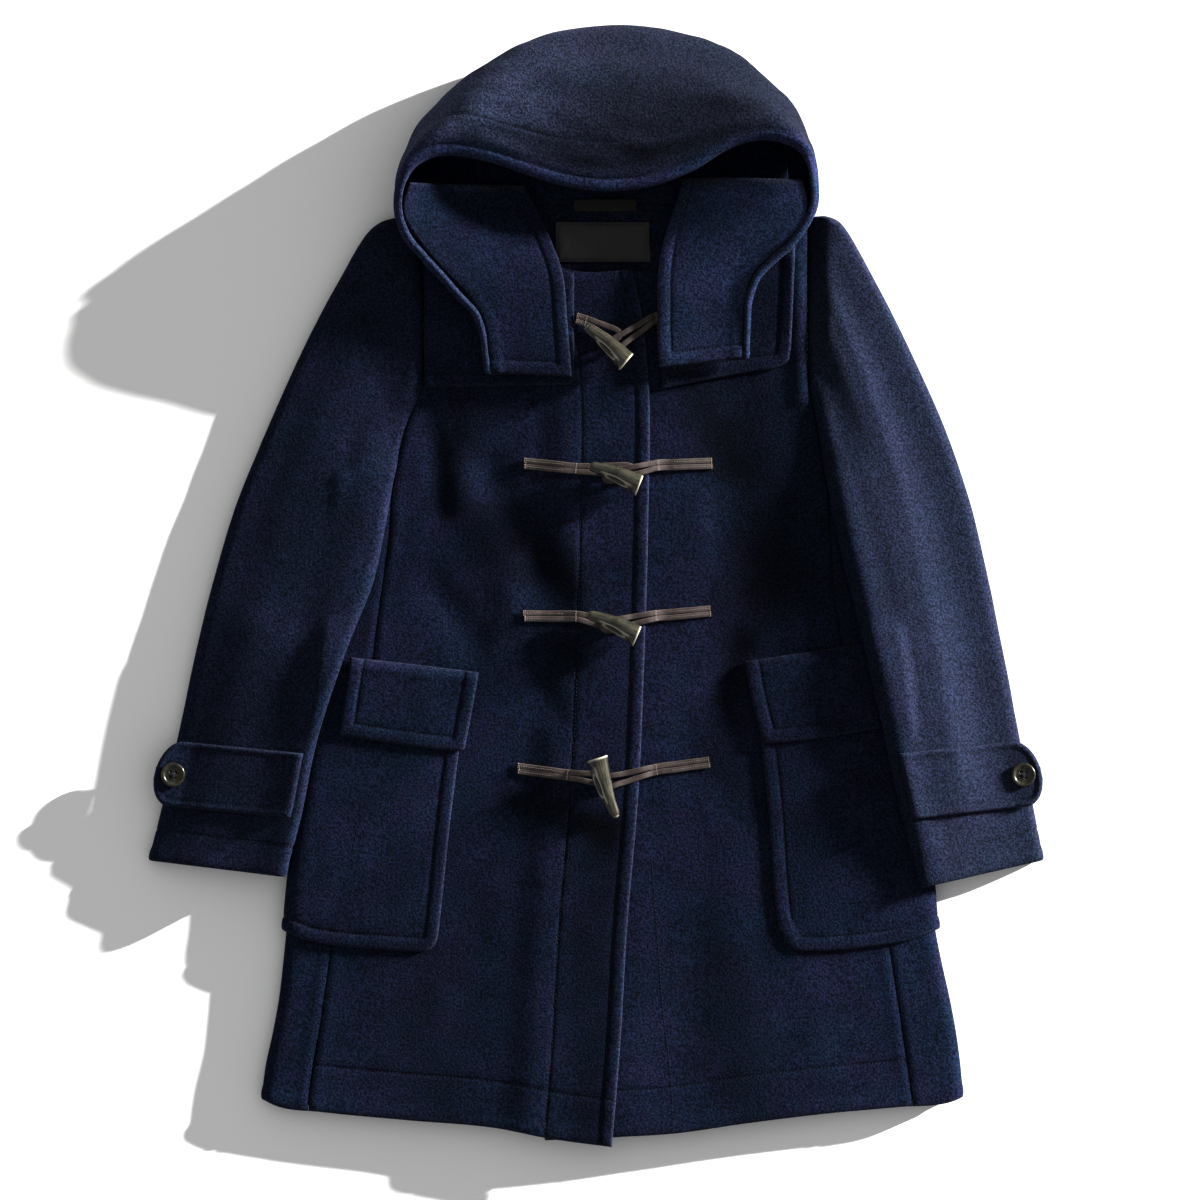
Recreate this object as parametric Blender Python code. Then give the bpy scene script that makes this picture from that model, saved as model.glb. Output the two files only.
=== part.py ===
"""A hooded wool duffle coat laid flat on a surface, front up.

Lengths are in millimetres until a mesh is made. X runs to the wearer's left side,
Y runs from the hem to the hood and Z is the height above the surface. The origin is
under the middle of the coat's outline. "Left" and "right" in the names are as seen
from above, so the front that lies on top is the left one.
"""
import math

import bpy
import numpy as np

MM = 0.001

# ---- Cloth ----
WALL = 2.8             # thickness of the felted wool
SEAM = 0.35            # gap between two pieces that are sewn edge to edge
LAY = 0.8              # air under a piece that lies on another
LAYER = WALL + LAY     # what one lying piece adds to the height
HEM_FOLD = 5.6         # thickness of a turned and stitched edge

# ---- Body, seen from above ----
SIDE_FOLD = 15.0       # height of the rolled side
ROLL_REACH = 12.0      # distance from the outline to where the roll is level
CROWN = 5.0            # how much higher the middle of the front lies
CROWN_X = 15.0         # its middle, and how far it reaches at the chest and per mm below
CROWN_HALF = 250.0
CROWN_FLARE = 0.14
CHEST_Y = 100.0
OVERLAP = 62.0         # width of the lower front that is under the upper one
OVERLAP_START = 44.0   # the upper front starts to rise this far outside the lower one's edge
OVERLAP_CLIMB = 30.0   # and has risen one layer after this length
UNDERARM_Y = 96.0
UNDERARM_TURN = 14.0   # half the length over which the back's sides turn up at the underarm
SHOULDER = [(-158, 339), (-96, 343), (132, 343), (194, 339)]   # x, y of the front's shoulder
SHOULDER_ROLL = 20.0   # length over which the front rolls down to the shoulder
SHOULDER_TOP = 2 * WALL + 0.6
SHOULDER_CUT = 302.0   # the right front's shoulder is a piece of its own above this line
SHOULDER_START = 78.0
SHOULDER_AIR = 1.6    # extra air under a yoke where the front rolls down
SHOULDER_AIR_REACH = 26.0
OUTLINE = [            # y, left outline, right outline
    (-472, -307.5, 337.5), (-440, -303.5, 335), (-410, -297, 331), (-380, -291.5, 325.5),
    (-351, -288, 319), (-316, -284.5, 312), (-262, -279.5, 306.5), (-160, -264, 290.5),
    (-49, -247.5, 275), (24, -240, 265), (100, -233, 255)]
SIDE_SEAMS = [         # y, left seam, right seam: side seam below the underarm, armhole above
    (-472, -264, 290.5), (-380, -250, 277), (-242, -231, 255), (-160, -219, 242),
    (-58, -204, 226.5), (-12, -198, 219), (43, -190.5, 215.5), (90, -187, 212.5),
    (116, -182, 208), (147, -174, 202.5), (168, -165, 199), (186, -159, 195),
    (206, -158, 194), (260, -158, 194), (343, -158, 194)]
FREE_EDGE = [          # y, x of the upper front's free edge
    (-516, 14.5), (-426, 22), (-316, 28.5), (-182, 39.5), (-77, 44), (61, 48),
    (193, 48), (227, 45), (253, 41.5), (290, 34)]
HEM_LEFT = [           # x, y of the left front's hem
    (-306.5, -471.5), (-294, -477), (-253, -482.5), (-173, -490), (-90, -497.5),
    (-43, -506.5), (15.5, -514.5)]
HEM_RIGHT = [          # x, y of the right front's hem
    (-50, -508.5), (18.5, -505.5), (73.5, -502), (133.5, -493.5), (216, -483.5),
    (278, -478), (326, -473.5), (337.5, -469.5)]
HEM_BACK = [           # x, y of the back's hem
    (-306, -470), (-253, -479), (-90, -492), (16, -500), (133, -489), (278, -474), (337, -468)]
FRONT_TOP = [          # x, y of the shoulder seam and neckline, left front
    (-158, 339), (-110, 337), (-86, 331), (-62, 315), (-40, 296), (-26, 291), (34, 290.5)]
FRONT_TOP_RIGHT = [    # x, y of the neckline and shoulder seam, right front
    (-28, 289), (40, 289.5), (64, 293), (84, 312), (104, 330), (130, 337), (194, 339)]
BACK_TOP = [           # x, y of the back's shoulder seams and neck seam
    (-158, 339), (-96, 343), (-70, 349.5), (-30, 351.5), (14, 351.5), (60, 351.5),
    (104, 349.5), (132, 343), (194, 339)]
FOLDS = [              # x0, y0, x1, y1, height, reach: soft ridges (+) and troughs (-)
    (-154, 168, -141, 70, -3.0, 12), (-98, 108, -36, -12, -3.4, 17),
    (-152, 6, -112, -52, -2.4, 15), (-60, -66, -34, -122, -2.4, 13),
    (-128, 96, -66, -30, 2.4, 22), (110, -104, 133, -58, -1.8, 12),
    (187, 48, 187, -46, 2.0, 14), (86, 160, 88, -40, 2.0, 26),
    (-60, -250, -70, -440, 1.8, 40), (120, -250, 140, -440, 2.2, 40)]

# ---- Yokes, pockets and flaps on the fronts ----
YOKE_BELOW_SEAM = 2.0  # distance of a yoke's upper edge from the shoulder seam
YOKE_LEFT_START = -156.8
YOKE_LEFT_INNER = [(150, -24), (182, -24), (190, -20), (345, -20)]      # y, x
YOKE_LEFT_FOOT = [(-160, 182.3), (-20, 185.1)]                          # x, y
YOKE_RIGHT_START = 61.0
YOKE_RIGHT_OUTER = [(204, 176), (218, 178.5), (317, 183), (340, 184)]   # y, x
YOKE_RIGHT_FOOT = [(61, 181.5), (145, 197.5), (166, 201), (176, 207), (181, 215)]
POCKET_CORNER = 17.0   # radius of a patch pocket's inner corner
POCKET_INNER_X = (-145.0, 171.5)
POCKET_PUFF_RAMP = 40.0
POCKET_PUFF_FOOT_Y = -336.0
POCKET_PUFF = 1.6      # how far a patch pocket stands off the front in its middle
POCKET_LEFT = [        # y, x of the inner edge
    (-340, -147), (-290, -141.5), (-214, -133.5), (-153, -126), (-70, -116)]
POCKET_LEFT_FOOT = [(-290, -312), (-276, -321), (-244, -329), (-207, -332.5), (-140, -336.5)]
POCKET_RIGHT = [       # y, x of the inner edge
    (-340, 171.5), (-290, 164.5), (-203, 158), (-148, 152), (-70, 145)]
POCKET_RIGHT_FOOT = [(164, -333.5), (210, -334.5), (253, -330.5), (288, -324.5), (318, -312)]
MOUTH_BELOW = 13.0     # distance from a flap's upper edge down to the pocket's mouth
FLAP_LEFT = [          # y, x of the inner edge
    (-152, -121), (-110, -113), (-70, -106)]
FLAP_RIGHT = [(-152, 155.5), (-110, 144.5), (-60, 134.5)]
FLAP_LEFT_TOP = [(-262, -60), (-231, -64), (-170, -71), (-104, -79)]
FLAP_LEFT_FOOT = [(-262, -134), (-246, -135.5), (-186, -144), (-133, -150.5), (-112, -151.5)]
FLAP_RIGHT_TOP = [(134, -69), (190, -60.5), (240, -53), (284, -47)]
FLAP_RIGHT_FOOT = [(145, -144.5), (165, -143.5), (210, -138.5), (262, -130), (300, -125)]
FLAP_CORNER = 8.0      # radius of a flap's inner corner
FLAP_INNER_X = (-118.5, 152.5)
FLAP_SHORT = 24.0      # distance of a flap's outer end from the body's outline

# ---- Sleeves ----
SLEEVE_ROLL = 10.0     # reach of the fold along a sleeve's two long edges
MIN_SLEEVE = 9.0       # least thickness of a flattened sleeve
UNDER_SEAM_IN = 20.0   # distance of the under-sleeve's seams from the sleeve's edges
RAMP = 26.0            # length over which a sleeve climbs from the floor onto the body
SLEEVE_LEFT = [        # station, outer x, outer y, inner x, inner y, outer top, inner top, puff, roll
    (0, -158.4, 338, -158.4, 186, 8, 17.5, 4, 3), (1, -184, 339, -161.5, 177, 15, 18, 4, 5),
    (2, -209, 326, -166, 168, 16, 18, 4, 7), (3, -235.5, 282, -175, 149, 16, 18, 3, 8),
    (4, -267, 223, -183, 116, 15, 21, 3, 9), (5, -300, 149.5, -189, 78, 14, 29, 1, 10),
    (6, -330.5, 76, -201.5, 13.5, 14, 31, 1, 10), (7, -352.5, 2.5, -216, -27, 14, 31, 2, 10),
    (8, -367, -58, -232, -68, 14, 37, 1, 10), (9, -382.5, -130, -256, -142, 14, 37, 0, 10),
    (10, -397.5, -196.5, -269.5, -208, 14, 34, 0, 9), (11, -411, -251.5, -285, -266.5, 14, 32, 0, 8)]
SLEEVE_RIGHT = [       # the same columns
    (0, 194.4, 338, 194.4, 186, 8, 17.5, 4, 3), (1, 211.5, 340, 196.5, 177, 15, 18, 5, 5),
    (2, 229, 329, 199, 169, 16, 18, 5, 7), (3, 256, 282, 203.5, 149, 16, 18, 5, 8),
    (4, 286, 223, 209, 114, 15, 21, 4, 9), (5, 319, 149.5, 214.5, 80, 14, 29, 3, 10),
    (6, 344, 76, 225.5, 29, 14, 31, 3, 10), (7, 361.5, 2.5, 238.5, -23.5, 14, 31, 3, 10),
    (8, 373.5, -56.5, 248.5, -67.5, 14, 37, 2, 10), (9, 387.5, -130, 265, -142, 14, 37, 1, 10),
    (10, 401, -196.5, 280.5, -209, 14, 34, 1, 9), (11, 411.2, -251.5, 298, -276.5, 14, 32, 0, 8)]
SIDE_STACK = [         # y, height of the body's side under the sleeve, with pocket and flap
    (-300, 21.5), (-190, 21.5), (-165, 22.5), (-145, 26), (-42, 26), (-20, 19),
    (60, 17.5), (130, 17)]

# ---- Cuff straps and their buttons ----
STRAP_THICK = 4.0
STRAP_PROUD = 13.0     # how far a strap's round end stands past the sleeve's edge
STRAP_LEVEL = 17.0     # how far in from the sleeve's edge a strap lies level
STRAP_SHORT = 8.0      # distance of a strap's sewn end from the sleeve's inner edge
STRAP_STATIONS = (9.17, 10.08)
BUTTON_R = 11.2
BUTTON_THICK = 3.4
BUTTON_IN = 4.0        # distance of a button's centre inside the sleeve's outer edge
BUTTON_STATION = 9.62
BUTTON_PROFILE = [     # share of the radius, share of the thickness
    (0.0, 0.0), (0.86, 0.0), (1.0, 0.35), (0.96, 0.9), (0.84, 1.0), (0.68, 0.82), (0.5, 0.62), (0.0, 0.6)]
BUTTON_SIDES = 16

# ---- Hood ----
RIM_FOLD = 8.0         # width of the turned edge round the face opening
HOOD_SECTIONS = [      # rim x, y, z, crest x, y, z, side x, y, z, end x, y, z, along the face opening
    (-97, 194, 36, -98.5, 194, 34.5, -99.5, 194, 32, -66, 195, 28),
    (-100, 214, 37.5, -101.5, 214, 36, -102.5, 214, 33, -68, 216, 28),
    (-102, 234, 40, -104, 233, 38.5, -105, 233, 34, -70, 236, 28.2),
    (-109, 252, 43, -111, 251, 41.5, -112.5, 250, 35, -78, 258, 28.4),
    (-124, 269, 46, -126, 267, 45, -127.5, 266, 37, -90, 276, 28.6),
    (-140, 287, 50, -142, 285, 48.5, -143.5, 284, 38, -104, 292, 29),
    (-155, 303, 54, -157.5, 301, 52, -159, 300, 40, -116, 306, 29),
    (-169, 320, 57, -172, 318, 55, -174, 317, 40, -132, 318, 28),
    (-177, 338, 60, -180, 337, 57, -182.5, 336, 38, -146, 334, 27),
    (-178.5, 354, 61, -181.5, 354, 57, -184, 355, 34, -152, 350, 17),
    (-174, 371, 61, -178, 372, 57, -184, 374, 27, -155, 366, 5),
    (-160, 386, 59, -167, 394, 60, -177, 399, 24, -150, 386, 0.3),
    (-136, 393, 57, -143, 413, 64, -160, 428, 22, -138, 404, 0.3),
    (-100, 388, 55, -112, 425, 66, -128, 460, 22, -112, 434, 0.3),
    (-64, 376, 53, -76, 430, 66, -86, 489, 22, -76, 462, 0.3),
    (-26, 365, 51, -34, 432, 66, -37, 509, 22, -34, 480, 0.3),
    (12, 361, 50, 12, 432, 66, 13, 515.3, 22, 12, 486, 0.3),
    (50, 365, 51, 58, 432, 66, 62, 511, 22, 58, 482, 0.3),
    (88, 379, 53, 100, 430, 66, 112, 497.5, 22, 100, 468, 0.3),
    (122, 399, 55, 134, 428, 65, 153, 471, 22, 138, 446, 0.3),
    (152, 407, 56, 164, 420, 62, 182, 440, 22, 163, 420, 0.3),
    (179, 401, 58, 186, 406, 61, 197, 408, 25, 174, 398, 0.3),
    (193, 387, 60, 197, 388, 57, 202, 386, 30, 177, 380, 5),
    (197, 369, 61, 200.5, 369, 57, 203, 368, 36, 176, 362, 17),
    (197, 351, 60, 200, 350, 57, 202, 349, 38, 172, 346, 27),
    (190, 334, 57, 193, 333, 55, 195, 332, 40, 160, 334, 28),
    (177, 316, 54, 179.5, 314, 52, 181, 313, 40, 148, 322, 29),
    (161, 302, 50, 163, 300, 48.5, 164.5, 299, 38, 130, 310, 29),
    (145, 285, 46, 147, 283, 45, 148.5, 282, 37, 114, 290, 28.6),
    (137.5, 262, 43, 139.5, 261, 41.5, 141, 261, 35, 108, 264, 28.4),
    (137, 238, 39.5, 138.5, 238, 38, 139.5, 238, 34, 106, 240, 28.2),
    (136, 209, 36, 137.5, 208, 34.5, 138.5, 208, 32, 104, 207, 28)]
HOOD_BACK_SECTIONS = (10, 22)   # rows of the table whose ends meet the layer on the floor
NECK_SEAM = [          # x, y where the hood's floor layer meets the back
    (-162, 352.5), (-100, 346), (-70, 350.4), (-30, 352), (14, 352), (60, 352),
    (104, 350.4), (140, 346), (184, 352.5)]

# Inner sides of the hood, folded open like lapels. Columns: share of the way down from
# the top, left x, y, z, right x, y, z
LAPEL_LEFT = [
    (0.0, -166, 369, 58, -65.5, 369, 14), (0.1, -172, 352, 58.5, -56, 350, 15),
    (0.22, -170.5, 335, 57.5, -47, 332, 20), (0.36, -158, 315.5, 53, -39, 313, 27),
    (0.5, -141, 294.5, 48, -33, 297, 33), (0.64, -118, 271, 43.5, -28.5, 276, 35.5),
    (0.76, -101.5, 247, 40, -26.5, 247, 36), (0.88, -95, 217, 37.5, -24, 218, 36),
    (1.0, -93, 195, 36.5, -22, 192, 36)]
LAPEL_RIGHT = [
    (0.0, 80, 376, 14, 185, 372, 58), (0.1, 74.5, 356, 15, 189.5, 354, 58.5),
    (0.22, 68, 338, 20, 187.5, 336, 57), (0.36, 62, 319, 27, 175, 319, 53),
    (0.5, 58, 300, 33, 158, 303, 48), (0.64, 56, 278, 35.5, 140, 284, 44),
    (0.76, 56, 252, 36, 133, 258, 41), (0.88, 56, 226, 36, 131.5, 232, 38),
    (1.0, 58, 200, 36, 131, 209, 36.5)]
LAPEL_SAG = 0.12       # share of its rise by which a lapel hangs below a straight line

# ---- Toggles and their leather ----
LEATHER = 1.5          # thickness of the strips
LEG_W = 4.7            # width of one strip
LEG_APART = 5.3        # distance between the middles of the two legs of a strip
LOOP_WIDE = 9.0        # the same where the legs open round the toggle
LEATHER_STACK = 5.45   # from the front up to a toggle that lies on both strips
TOGGLE_TIP_R = 3.6
TOGGLE_END_R = 8.6
TOGGLE_FLAT = 0.86     # height of the horn's section as a share of its width
TOGGLE_BOW = 2.0
TOGGLE_SIDES = 10
TOGGLE_SECTIONS = [    # share of the length, share of the taper's radius
    (0.0, 0.55), (0.03, 1), (0.12, 1), (0.3, 1), (0.5, 1), (0.7, 1), (0.88, 1), (0.97, 1), (1.0, 0.9)]
STRIP_AIR = 1.15       # from the front up to the lower strips
CROSS_RISE = 2.2       # how much higher a right strip lies where it crosses a left one
CROSS_RAMP = 12.0
YOKE_RISE = LAYER - 0.4    # how much higher the top row lies, on the yokes
TOGGLES = [            # tip x, y, end x, y, for the four rows from the neck down
    (-10, 238, 28, 205), (-7, 111, 40, 92), (-9, -25, 38, -46), (19, -212, 1, -157)]
STRAPS_LEFT = [        # outer x, y, knee x, y, far x, y
    (-18, 246, -8, 243, 17, 231), (-66, 113, -17, 108, 30, 106.5),
    (-66.5, -27, -17, -27.5, 14, -34), (-72, -167, -25, -173, 8, -177)]
STRAPS_RIGHT = [
    (100, 251, 54, 246, 17, 222), (107.5, 113, 56, 111, 12, 101),
    (106, -22.5, 54, -27, 10, -36), (105, -161, 54, -168, 8, -180)]

# ---- Neck label and hanger ----
LABEL = (-37.5, 298, 49.5, 335.5)      # x0, y0, x1, y1
LABEL_THICK = 1.0
HANGER = (-20.0, 345.0, 37.0, 356.0)
HANGER_THICK = 1.4
HANGER_RISE = 2.2
TRIM_AIR = 0.4         # air under the label and the loop's ends

COLOURS = {
    "wool": ((0.012, 0.016, 0.036), 0.95), "leather": ((0.045, 0.032, 0.028), 0.55),
    "horn": ((0.030, 0.027, 0.018), 0.25), "button": ((0.035, 0.030, 0.026), 0.35),
    "label": ((0.008, 0.008, 0.009), 0.5), "tape": ((0.020, 0.022, 0.020), 0.7)}


# ---------------------------------------------------------------- small helpers
def curve(rows, at):
    """Read a table at a value of its first column, on a smooth curve through its rows."""
    data = np.array(rows, float)
    key = data[:, 0]
    values = data[:, 1:]
    at = np.clip(np.asarray(at, float), key[0], key[-1])
    slopes = np.gradient(values, key, axis=0)
    row = np.clip(np.searchsorted(key, at, side="right") - 1, 0, len(key) - 2)
    span = key[row + 1] - key[row]
    t = ((at - key[row]) / span)[..., None]
    span = span[..., None]
    result = ((2 * t**3 - 3 * t**2 + 1) * values[row] + (t**3 - 2 * t**2 + t) * span * slopes[row]
              + (3 * t**2 - 2 * t**3) * values[row + 1] + (t**3 - t**2) * span * slopes[row + 1])
    return result[..., 0] if result.shape[-1] == 1 else result


def numbered(rows):
    """Put a row number in front of each row of a table."""
    return [(number, *row) for number, row in enumerate(rows)]


def ease(value):
    value = np.clip(value, 0.0, 1.0)
    return value * value * (3 - 2 * value)


def mix(first, second, share):
    return first + (second - first) * share


def grid(columns, rows):
    """Shares across and down for a sheet with this many points each way."""
    if np.isscalar(columns):
        columns = np.linspace(0, 1, columns)
    if np.isscalar(rows):
        rows = np.linspace(0, 1, rows)
    return np.meshgrid(np.asarray(columns, float), np.asarray(rows, float))


def patch(across, down, left, right, top, bottom):
    """Plan points of a sheet between two side edges x(y) and two end edges y(x)."""
    x = np.zeros_like(across)
    y = mix(top(x), bottom(x), down)
    for _ in range(6):
        x = mix(left(y), right(y), across)
        y = mix(top(x), bottom(x), down)
    return x, y


def points(x, y, z):
    return np.stack(np.broadcast_arrays(x, y, z), axis=-1)


# ---------------------------------------------------------------- meshes
def make_material(name):
    colour, roughness = COLOURS[name]
    material = bpy.data.materials.get(name) or bpy.data.materials.new(name)
    material.use_nodes = True
    shader = material.node_tree.nodes["Principled BSDF"]
    shader.inputs["Base Color"].default_value = (*colour, 1.0)
    shader.inputs["Roughness"].default_value = roughness
    shader.inputs["Metallic"].default_value = 0.0
    return material


def make_object(name, vertices, faces, material):
    """One closed body, turned so that its faces point out."""
    vertices = np.asarray(vertices, float)
    volume = 0.0
    for face in faces:
        origin = vertices[face[0]]
        for second, third in zip(face[1:-1], face[2:]):
            volume += np.dot(origin, np.cross(vertices[second], vertices[third]))
    if volume < 0:
        faces = [tuple(reversed(face)) for face in faces]
    mesh = bpy.data.meshes.new(name)
    mesh.from_pydata((vertices * MM).tolist(), [], [tuple(int(i) for i in face) for face in faces])
    mesh.shade_smooth()
    mesh.set_sharp_from_angle(angle=math.radians(50))
    mesh.materials.append(make_material(material))
    item = bpy.data.objects.new(name, mesh)
    bpy.context.scene.collection.objects.link(item)
    return item


def make_wall(name, outer, inner, material="wool"):
    """A sheet with two faces, closed along its four edges."""
    rows, columns = outer.shape[:2]
    count = rows * columns
    vertices = np.concatenate([outer.reshape(-1, 3), inner.reshape(-1, 3)])
    faces = []
    for r in range(rows - 1):
        for c in range(columns - 1):
            a = r * columns + c
            quad = (a, a + 1, a + columns + 1, a + columns)
            faces.append(quad)
            faces.append(tuple(count + i for i in reversed(quad)))
    top = list(range(columns))
    right = [r * columns + columns - 1 for r in range(rows)]
    bottom = [(rows - 1) * columns + c for c in reversed(range(columns))]
    left = [r * columns for r in reversed(range(rows))]
    ring = top + right[1:] + bottom[1:] + left[1:-1]
    for first, second in zip(ring, ring[1:] + ring[:1]):
        faces.append((second, first, count + first, count + second))
    return make_object(name, vertices, faces, material)


def make_tube(name, rings, material):
    """A solid through rings of equal length, closed at both ends."""
    number, sides = len(rings), len(rings[0])
    vertices = np.concatenate([np.asarray(ring, float) for ring in rings])
    faces = []
    for r in range(number - 1):
        for s in range(sides):
            t = (s + 1) % sides
            faces.append((r * sides + s, r * sides + t, (r + 1) * sides + t, (r + 1) * sides + s))
    faces.append(tuple(reversed(range(sides))))
    faces.append(tuple((number - 1) * sides + s for s in range(sides)))
    return make_object(name, vertices, faces, material)


# ---------------------------------------------------------------- the body's surface
def outline_x(side, y):
    return curve(OUTLINE, y)[..., 0 if side < 0 else 1]


def seam_x(side, y):
    return curve(SIDE_SEAMS, y)[..., 0 if side < 0 else 1]


def free_edge_x(y):
    return curve(FREE_EDGE, y)


def shoulder_y(x):
    return np.interp(x, *zip(*SHOULDER))


def fold_heights(x, y):
    """Height of the soft ridges and troughs."""
    total = np.zeros(np.broadcast(x, y).shape)
    for x0, y0, x1, y1, height, reach in FOLDS:
        length = math.hypot(x1 - x0, y1 - y0)
        along = ((x - x0) * (x1 - x0) + (y - y0) * (y1 - y0)) / length**2
        near_x = x0 + np.clip(along, 0, 1) * (x1 - x0)
        near_y = y0 + np.clip(along, 0, 1) * (y1 - y0)
        distance = np.hypot(x - near_x, y - near_y)
        total = total + height * np.exp(-(distance / reach) ** 2)
    return total


def lift(x, y):
    """Height of the front's outer face above the level of its rolled sides."""
    half = CROWN_HALF - CROWN_FLARE * (y - CHEST_Y)
    crown = CROWN * np.clip(1 - ((x - CROWN_X) / half) ** 2, 0, 1)
    return crown + fold_heights(x, y)


def front_height(x, y):
    """Outer face of the lower front; it rolls down to the shoulder seam."""
    full = SIDE_FOLD + lift(x, y)
    below = np.clip((shoulder_y(x) - y) / SHOULDER_ROLL, 0, 1)
    return SHOULDER_TOP + (full - SHOULDER_TOP) * np.sqrt(np.clip(1 - (1 - below) ** 2, 0, 1))


def overlap_rise(x, y):
    """Share of one layer by which the upper front lies higher."""
    inside = x - (free_edge_x(y) - OVERLAP)
    return ease((inside + OVERLAP_START) / OVERLAP_CLIMB)


def upper_height(x, y):
    return front_height(x, y) + LAYER * overlap_rise(x, y)


def roll_length():
    half = SIDE_FOLD / 2
    ramanujan = math.pi * (3 * (ROLL_REACH + half)
                           - math.sqrt((3 * ROLL_REACH + half) * (ROLL_REACH + 3 * half)))
    return ramanujan / 4


def side_point(side, y, arc, offset):
    """A point near the body's side. arc is measured from the outline, over the top (+) or
    along the floor (-); offset is outward from the body's face."""
    quarter = roll_length()
    half = SIDE_FOLD / 2
    angle = np.clip(arc / quarter, -1, 1) * math.pi / 2
    inward = ROLL_REACH * (1 - np.cos(angle)) + np.clip(np.abs(arc) - quarter, 0, None)
    z = half * (1 + np.sin(angle))
    normal_in = -np.cos(angle) / ROLL_REACH
    normal_z = np.sin(angle) / half
    size = np.hypot(normal_in, normal_z)
    edge = outline_x(side, y)
    raised = lift(edge - side * inward, y) * ease(arc / 40.0)
    x = edge - side * (inward + offset * normal_in / size)
    return points(x, y, z + offset * normal_z / size + raised)


def seam_arc(side, y):
    """Arc from the outline, over the roll, to the side seam."""
    return np.abs(seam_x(side, y) - outline_x(side, y)) - ROLL_REACH + roll_length()


# ---------------------------------------------------------------- body panels
def back_places(y, floor_y):
    """Places across the back at one height, unrolled on the floor from its middle line.
    Above the underarm it ends at the armholes, below it goes over the rolls."""
    quarter = roll_length()
    turned = float(ease((UNDERARM_Y + UNDERARM_TURN - y) / (2 * UNDERARM_TURN)))
    rolled = []
    for side in (-1, 1):
        silhouette = abs(float(outline_x(side, floor_y))) - ROLL_REACH + quarter
        over = float(seam_arc(side, floor_y)) - SEAM
        beyond = [mix(quarter, over, share) for share in (1.0, 0.62, 0.24)]
        beyond += [quarter * share for share in (1.0, 0.66, 0.33, 0.0, -0.33, -0.66, -1.0)]
        rolled.append([side * (silhouette + arc) for arc in beyond])
    inside = [mix(rolled[0][-1], rolled[1][-1], share) for share in (0.14, 0.32, 0.5, 0.68, 0.86)]
    rolled = np.array(rolled[0] + inside + rolled[1][::-1])
    ends = [side * (abs(float(seam_x(side, floor_y))) - SEAM) for side in (-1, 1)]
    flat = np.linspace(ends[0], ends[1], len(rolled))
    return mix(flat, rolled, turned), turned


def make_back():
    """Back panel: flat on the floor, its sides rolled up and over to the side seams."""
    quarter = roll_length()
    rows = np.concatenate([[339, 300, 255, 207, 192, 182, 170, 152, 130],
                           np.linspace(UNDERARM_Y + UNDERARM_TURN, UNDERARM_Y - UNDERARM_TURN, 7),
                           np.linspace(50, -472, 11)])
    outer, inner = [], []
    for y in rows:
        first_places, turned = back_places(y, y)
        outer_row, inner_row = [], []
        for column, first in enumerate(first_places):
            side = -1 if first < 0 else 1
            silhouette = abs(float(outline_x(side, y))) - ROLL_REACH + quarter
            arc = abs(first) - silhouette
            x = float(side_point(side, y, np.array(arc), 0.0)[0]) if turned > 0 else first
            hem = HEM_BACK if arc < 0 else (HEM_LEFT if side < 0 else HEM_RIGHT)
            y_here = y + float(curve(BACK_TOP, x) - 339) * float(ease((y - 270) / 69.0))
            y_here += float(curve(hem, x) + 472) * float(ease((-400 - y) / 72.0))
            place = back_places(y, y_here)[0][column]
            silhouette = abs(float(outline_x(side, y_here))) - ROLL_REACH + quarter
            arc = np.array(abs(place) - silhouette)
            if turned == 0 or arc < -quarter:
                outer_row.append((place, y_here, 0.0))
                inner_row.append((place, y_here, WALL))
            else:
                outer_row.append(side_point(side, y_here, arc, 0.0))
                inner_row.append(side_point(side, y_here, arc, -WALL))
        outer.append(outer_row)
        inner.append(inner_row)
    return make_wall("back", np.array(outer, float), np.array(inner, float))


def height_panel(name, x, y, z, wall=WALL, material="wool"):
    return make_wall(name, points(x, y, z), points(x, y, z - wall), material)


FRONT_ROWS = np.concatenate([
    [0, 0.012, 0.03, 0.06, 0.1, 0.15, 0.178, 0.188, 0.199, 0.212], np.linspace(0.235, 0.31, 4),
    np.linspace(0.36, 0.96, 11), [1.0]])


def make_front_left():
    columns = np.concatenate([[0, 0.07], np.linspace(0.17, 0.9, 9), [0.97, 1.0]])
    across, down = grid(columns, FRONT_ROWS)
    x, y = patch(across, down, lambda v: seam_x(-1, v) + SEAM, free_edge_x,
                 lambda v: curve(FRONT_TOP, v), lambda v: curve(HEM_LEFT, v))
    return height_panel("front_left", x, y, upper_height(x, y))


def make_front_right():
    """The lower front. Its shoulder, under the yoke, is a node of its own, so that collision
    follows the roll down to the shoulder seam."""
    columns = np.concatenate([[0, 0.06], np.linspace(0.15, 0.92, 10), [1.0]])
    rows = (FRONT_ROWS * 839 - 37) / 802
    across, down = grid(columns, np.concatenate([[0], rows[rows > 0.004]]))
    x, y = patch(across, down, lambda v: free_edge_x(v) - OVERLAP, lambda v: seam_x(1, v) - SEAM,
                 lambda v: np.minimum(curve(FRONT_TOP_RIGHT, v), SHOULDER_CUT - SEAM),
                 lambda v: curve(HEM_RIGHT, v))
    height_panel("front_right", x, y, front_height(x, y))
    across, down = grid([0, 0.1, 0.22, 0.4, 0.6, 0.8, 1], [0, 0.12, 0.28, 0.5, 0.75, 1])
    x, y = patch(across, down, lambda v: SHOULDER_START, lambda v: seam_x(1, v) - SEAM,
                 lambda v: curve(FRONT_TOP_RIGHT, v), lambda v: SHOULDER_CUT)
    height_panel("front_right_shoulder", x, y, front_height(x, y))


def shoulder_air(x, y):
    """Extra air under a yoke where the front rolls down to the shoulder seam."""
    return SHOULDER_AIR * ease(1 - (shoulder_y(x) - y) / SHOULDER_AIR_REACH)


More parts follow.
